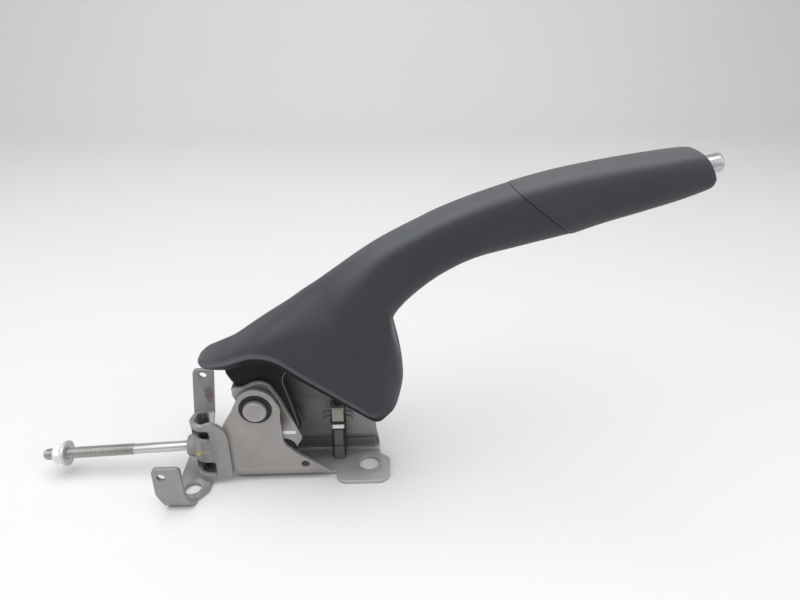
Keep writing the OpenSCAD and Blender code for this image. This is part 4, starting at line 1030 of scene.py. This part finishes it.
# %% Rivet tree
riveting, part = new_tree("rivet_heads", [
    ("Points", GEOMETRY), ("Flatness", FLOAT), ("Height", FLOAT),
    ("Finish", MATERIAL)])
ball = add(riveting, "GeometryNodeMeshUVSphere", {"Segments": 40, "Rings": 20, "Radius": 1.0})
on_ball = add(riveting, "GeometryNodeInputPosition").outputs[0]
spot = add(riveting, "ShaderNodeSeparateXYZ", {0: on_ball}).outputs
raised = calc(riveting, "POWER", calc(riveting, "ABSOLUTE", spot["Z"]), part["Flatness"])
raised = calc(riveting, "MULTIPLY", raised, calc(riveting, "SIGN", spot["Z"]))
raised = calc(riveting, "MULTIPLY", raised, part["Height"])
formed = add(riveting, "ShaderNodeCombineXYZ", {"X": spot["X"], "Y": spot["Y"], "Z": raised})
head = add(riveting, "GeometryNodeSetPosition", {
    "Geometry": ball.outputs["Mesh"], "Position": formed.outputs[0]})
facing = add(riveting, "GeometryNodeInputNamedAttribute", {"Name": "facing"}, data_type="FLOAT_VECTOR")
across = add(riveting, "GeometryNodeInputNamedAttribute", {"Name": "radius"}, data_type="FLOAT")
turn_to = add(riveting, "FunctionNodeAlignRotationToVector",
              {"Vector": facing.outputs["Attribute"]}, axis="Z")
heads = add(riveting, "GeometryNodeInstanceOnPoints", {
    "Points": part["Points"], "Instance": head.outputs[0], "Rotation": turn_to.outputs[0],
    "Scale": across.outputs["Attribute"]})
end_tree(riveting, heads.outputs[0], part["Finish"])


# %% Rivets
FLATNESS = 0.55
TIE_AT, TIE_R, TIE_HEIGHT = (-86, 20, 14), 5.5, 0.34
NECK_SLOPE, ARM_SIDE, TUBE_RIVET_R, TUBE_RIVET_HEIGHT = math.radians(40), 8, 3.2, 0.3
TUBE_RIVETS_FROM_KNEE = (38, 54)


def rivets(name, rows, height, finish, slot, body):
    """Heads at rows of (place in mm, facing, radius in mm)."""
    marked = bpy.data.meshes.new(name)
    marked.from_pydata([Vector(p) * MM for p, _, _ in rows], [], [])
    facing_way = [c for _, way, _ in rows for c in way]
    marked.attributes.new("facing", "FLOAT_VECTOR", "POINT").data.foreach_set("vector", facing_way)
    radii = [r * MM for _, _, r in rows]
    marked.attributes.new("radius", "FLOAT", "POINT").data.foreach_set("value", radii)
    sizes = {"Flatness": FLATNESS, "Height": height, "Finish": finishes[finish]}
    mesh = grow(riveting, name, sizes, marked)
    mesh.shade_smooth()
    return place(name, mesh, finish, slot, body)


rivets("tie_rivet_heads", [(TIE_AT, (0, 1, 0), TIE_R)], TIE_HEIGHT, "plate", "bright_steel", "base")
tube_rivet_rows = []
for back in TUBE_RIVETS_FROM_KNEE:
    for side in (-1, 1):
        x, z = KNEE - back * np.array([math.cos(NECK_SLOPE), math.sin(NECK_SLOPE)])
        tube_rivet_rows.append(((x, side * ARM_SIDE, z), (0, side, 0), TUBE_RIVET_R))
rivets("tube_rivet_heads", tube_rivet_rows, TUBE_RIVET_HEIGHT, "bright", "bright_steel", "lever")

# %% [markdown]
# ## The warning switch
# A small dark case with a pale face plate clips to the far plate. Four bent claws hold it, and below it
# a socket with raised panels takes the cable. The case and the panels are rounded boxes. The claws
# repeat, so a tree sweeps one bent wire and sets it on every marked point, turned for its side.

# %% Switch case and panels
def boxes(rows):
    """Points and faces of boxes given by their two corners in millimetres."""
    points, faces = [], []
    for low, high in rows:
        n = len(points)
        xs, ys, zs = zip(low, high)
        points += [(x, y, z) for x in xs for y in ys for z in zs]
        faces += [tuple(n + k for k in f) for f in (
            (0, 1, 3, 2), (4, 6, 7, 5), (0, 4, 5, 1), (2, 3, 7, 6), (0, 2, 6, 4), (1, 5, 7, 3))]
    return points, faces


SWITCH_X, SWITCH_FRONT, SWITCH_Z, SWITCH_H = -21.6, 4.0, 36, 13


def switch_piece(name, rows, rounding, finish, slot, *nodes):
    """Rounded boxes from the switch's middle line, front and lower end: spans of x, depth and height."""
    corner = np.array((SWITCH_X, SWITCH_FRONT, SWITCH_Z))
    mesh = to_mesh(name, *boxes([corner + np.array(spans).T for spans in rows]))
    place(name, round_edges(mesh, rounding), finish, slot, "base", *nodes)


switch_piece("switch_case", [
    ((-4.9, 4.9), (0, 9), (0, SWITCH_H)),
    ((-5.6, 5.6), (-0.5, 9), (0, 1.4)),
    ((-4.7, 4.7), (8, 13), (3, SWITCH_H - 3))], 0.35, "black", "switch_plastic", "switch_body")
switch_piece("switch_face", [
    ((-4.1, 4.1), (-0.6, 0.5), (1.6, SWITCH_H - 0.6)),
    ((-4.6, 4.6), (-0.3, 8), (SWITCH_H - 1.4, SWITCH_H + 0.3))], 0.4, "switch", "switch_plastic")
switch_piece("socket_panels", [
    ((-3.3, 3.3), (-0.9, 0.5), (-19.6, -5.6)),
    ((-3.6, 3.6), (-1.1, 0.5), (-31, -20.4))], 0.4, "connector", "connector_plastic")
switch_piece("terminal_band", [
    ((-4.2, 4.2), (-0.7, 0.6), (-4.6, -1.2))], 0.4, "white_zinc", "bright_steel")

# %% Claw tree
clawing, claw = new_tree("bent_claws", [
    ("Points", GEOMETRY), ("Reach", FLOAT), ("Drop", FLOAT), ("Wire", FLOAT),
    ("Finish", MATERIAL)])
rise = calc(clawing, "MULTIPLY", claw["Drop"], 0.45)
bend = add(clawing, "ShaderNodeCombineXYZ", {"X": claw["Reach"], "Z": rise})
fall = calc(clawing, "MULTIPLY", claw["Drop"], -1.0)
claw_tip = add(clawing, "ShaderNodeCombineXYZ", {"X": claw["Reach"], "Z": fall})
wire_path = add(clawing, "GeometryNodeCurveQuadraticBezier", {
    "Resolution": 14, "Start": (0, 0, 0), "Middle": bend.outputs[0], "End": claw_tip.outputs[0]})
wire_round = add(clawing, "GeometryNodeCurvePrimitiveCircle", {"Resolution": 14, "Radius": claw["Wire"]})
wire = add(clawing, "GeometryNodeCurveToMesh", {
    "Curve": wire_path.outputs[0], "Profile Curve": wire_round.outputs[0], "Fill Caps": True})
side_turn = add(clawing, "GeometryNodeInputNamedAttribute", {"Name": "turn"}, data_type="FLOAT_VECTOR")
turned_side = add(clawing, "FunctionNodeEulerToRotation", {0: side_turn.outputs["Attribute"]})
claws = add(clawing, "GeometryNodeInstanceOnPoints", {
    "Points": claw["Points"], "Instance": wire.outputs[0], "Rotation": turned_side.outputs[0]})
end_tree(clawing, claws.outputs[0], claw["Finish"])

# %% Claws
CLAW_SIDE, CLAW_BACK, CLAW_HEIGHTS = 4.7, 2, (4.6, 8.8)
CLAW_REACH, CLAW_DROP, CLAW_WIRE = 5.6, 2.6, 0.75
claw_rows = [(side, z) for side in (1, -1) for z in CLAW_HEIGHTS]
claw_places = [(SWITCH_X + side * CLAW_SIDE, SWITCH_FRONT + CLAW_BACK, SWITCH_Z + z) for side, z in claw_rows]
claw_turns = [c for side, _ in claw_rows for c in (0, 0, 0 if side > 0 else math.pi)]
claw_marks = bpy.data.meshes.new("switch_claws")
claw_marks.from_pydata([Vector(p) * MM for p in claw_places], [], [])
claw_marks.attributes.new("turn", "FLOAT_VECTOR", "POINT").data.foreach_set("vector", claw_turns)
claw_mesh = grow(clawing, "switch_claws", {
    "Reach": CLAW_REACH * MM, "Drop": CLAW_DROP * MM, "Wire": CLAW_WIRE * MM,
    "Finish": finishes["connector"]}, claw_marks)
claw_mesh.shade_smooth()
place("switch_claws", claw_mesh, "connector", "switch_plastic", "base")

# %% [markdown]
# ## The trunnion's end
# The rod hooks into a trunnion in the yoke. Its round end cap and the bright clip above it show between
# the near plate and the yoke; the clip's white finish is partly a painted highlight. Both are thin, because
# the plate passes close in front.

# %% Trunnion cap and clip
CHEEK_FACE, CAP_T, CAP_SUNK, GROOVE_FLOOR = 9.75, 0.17, 0.5, 0.02
CAP_R, GROOVE_OUT, GROOVE_IN, GROOVE_SIDE = 8.4, 6.9, 5.7, 0.2
CLIP_X, CLIP_Z, CLIP_SUNK = (-58.5, -49.6), (38.4, 41.0), 0.4
cap_back, cap_face, cap_groove = (CHEEK_FACE + h for h in (-CAP_SUNK, CAP_T, GROOVE_FLOOR))
cap_profile = [
    (0, cap_back), (CAP_R, cap_back), (CAP_R, cap_face), (GROOVE_OUT, cap_face),
    (GROOVE_OUT - GROOVE_SIDE, cap_groove), (GROOVE_IN + GROOVE_SIDE, cap_groove), (GROOVE_IN, cap_face),
    (0, cap_face)]
cap_mesh = turned("trunnion_cap", cap_profile, TRUNNION, TO_NEAR)
place("trunnion_cap", round_edges(cap_mesh, 0.05), "coated", "bright_steel", "rod")
# The clip's white zinc is partly a painted highlight.
clip_low = (CLIP_X[0], -CHEEK_FACE - CAP_T, CLIP_Z[0])
clip_high = (CLIP_X[1], -CHEEK_FACE + CLIP_SUNK, CLIP_Z[1])
clip_mesh = to_mesh("trunnion_clip", *boxes([(clip_low, clip_high)]))
place("trunnion_clip", round_edges(clip_mesh, 0.06), "white_zinc", "bright_steel", "lever")

# %% [markdown]
# ## Finishes for the frame's own pieces
# The pieces that stay as they are in the frame sit deep inside: the tube, the push rod, the pins and
# the terminals. They keep their shape and get the same finishes.

# %% Dress the remaining nodes
KEPT = {
    "bright": ["pivot_spacer", "pivot_sleeve", "sector_rivets", "tube_rivets", "push_rod",
               "pawl_pin", "pawl_pin_clip", "pawl_peg", "trunnion"],
    "plate": ["tie_spacer", "tie_rivet"],
    "coated": ["lever_tube", "spring_seat"],
    "brass": ["switch_terminals"],
    "black": ["switch_plunger"],
}
for finish, names in KEPT.items():
    for name in names:
        for holder_slot in frame["nodes"][name].material_slots:
            holder_slot.material = finishes[finish]
print("kept from the frame:", sum(map(len, KEPT.values())))

# %% [markdown]
# ## Floor and light
# The floor and the backdrop are one pale sheet that curves up behind. Three broad lamps and an even
# sky give soft shadows with no hard highlights.

# %% Floor
FLOOR_HALF, FLOOR_FRONT, FLOOR_BACK, WALL_TOP, SWEEP = 7.0, -6.0, 1.6, 3.0, 0.5
FLOOR_GAP = 0.0003
PAPER_DARK, PAPER_LIGHT = (0.73, 0.73, 0.72), (0.75, 0.75, 0.74)
sweep_rows = [(FLOOR_FRONT, 0.0), (FLOOR_BACK - SWEEP, 0.0)]
sweep_rows += [(FLOOR_BACK - SWEEP + SWEEP * math.sin(a), SWEEP * (1 - math.cos(a)))
               for a in np.linspace(0.1, math.pi / 2, 14)]
sweep_rows.append((FLOOR_BACK, WALL_TOP))
sheet = bpy.data.meshes.new("pale_sheet")
sheet.from_pydata(
    [(x, y, z - FLOOR_GAP) for y, z in sweep_rows for x in (-FLOOR_HALF, FLOOR_HALF)], [],
    [(2 * k, 2 * k + 1, 2 * k + 3, 2 * k + 2) for k in range(len(sweep_rows) - 1)])
sheet.shade_smooth()
floor = bpy.data.objects.new("pale_sheet", sheet)
bpy.context.scene.collection.objects.link(floor)
paper, paper_tree, paper_shader, paper_coords = start_finish("pale_paper")
paper_tint = tint(paper_tree, cloud(paper_tree, paper_coords, 3, 0, 1), PAPER_DARK, PAPER_LIGHT)
paper_tree.links.new(paper_tint, paper_shader.inputs["Base Color"])
paper_shader.inputs["Roughness"].default_value = 0.7
sheet.materials.append(paper)
print("floor rows:", len(sweep_rows))

# %% Lamps and sky
def lamp(name, place_at, aim, size_m, power):
    light = bpy.data.lights.new(name, "AREA")
    light.shape = "SQUARE"
    light.size = size_m
    light.energy = power
    holder = bpy.data.objects.new(name, light)
    holder.location = place_at
    holder.rotation_euler = (Vector(aim) - Vector(place_at)).to_track_quat("-Z", "Y").to_euler()
    bpy.context.scene.collection.objects.link(holder)


AIM = (0, 0, 0.08)
SKY_COLOUR, SKY_STRENGTH = (0.95, 0.97, 1.0, 1), 0.42
lamp("top_panel", (-0.15, -0.2, 1.5), AIM, 1.7, 25)
lamp("left_panel", (-1.1, -0.7, 0.9), AIM, 0.9, 3)
lamp("right_panel", (1.2, -0.6, 0.8), AIM, 0.9, 4)
sky = bpy.data.worlds.new("even_sky")
sky.use_nodes = True
backdrop = sky.node_tree.nodes["Background"]
backdrop.inputs["Color"].default_value = SKY_COLOUR
backdrop.inputs["Strength"].default_value = SKY_STRENGTH
bpy.context.scene.world = sky
print("lamps:", len(bpy.data.lights))

# %% [markdown]
# ## Finish
# The view layer is brought up to date.

# %% Finish
bpy.context.view_layer.update()
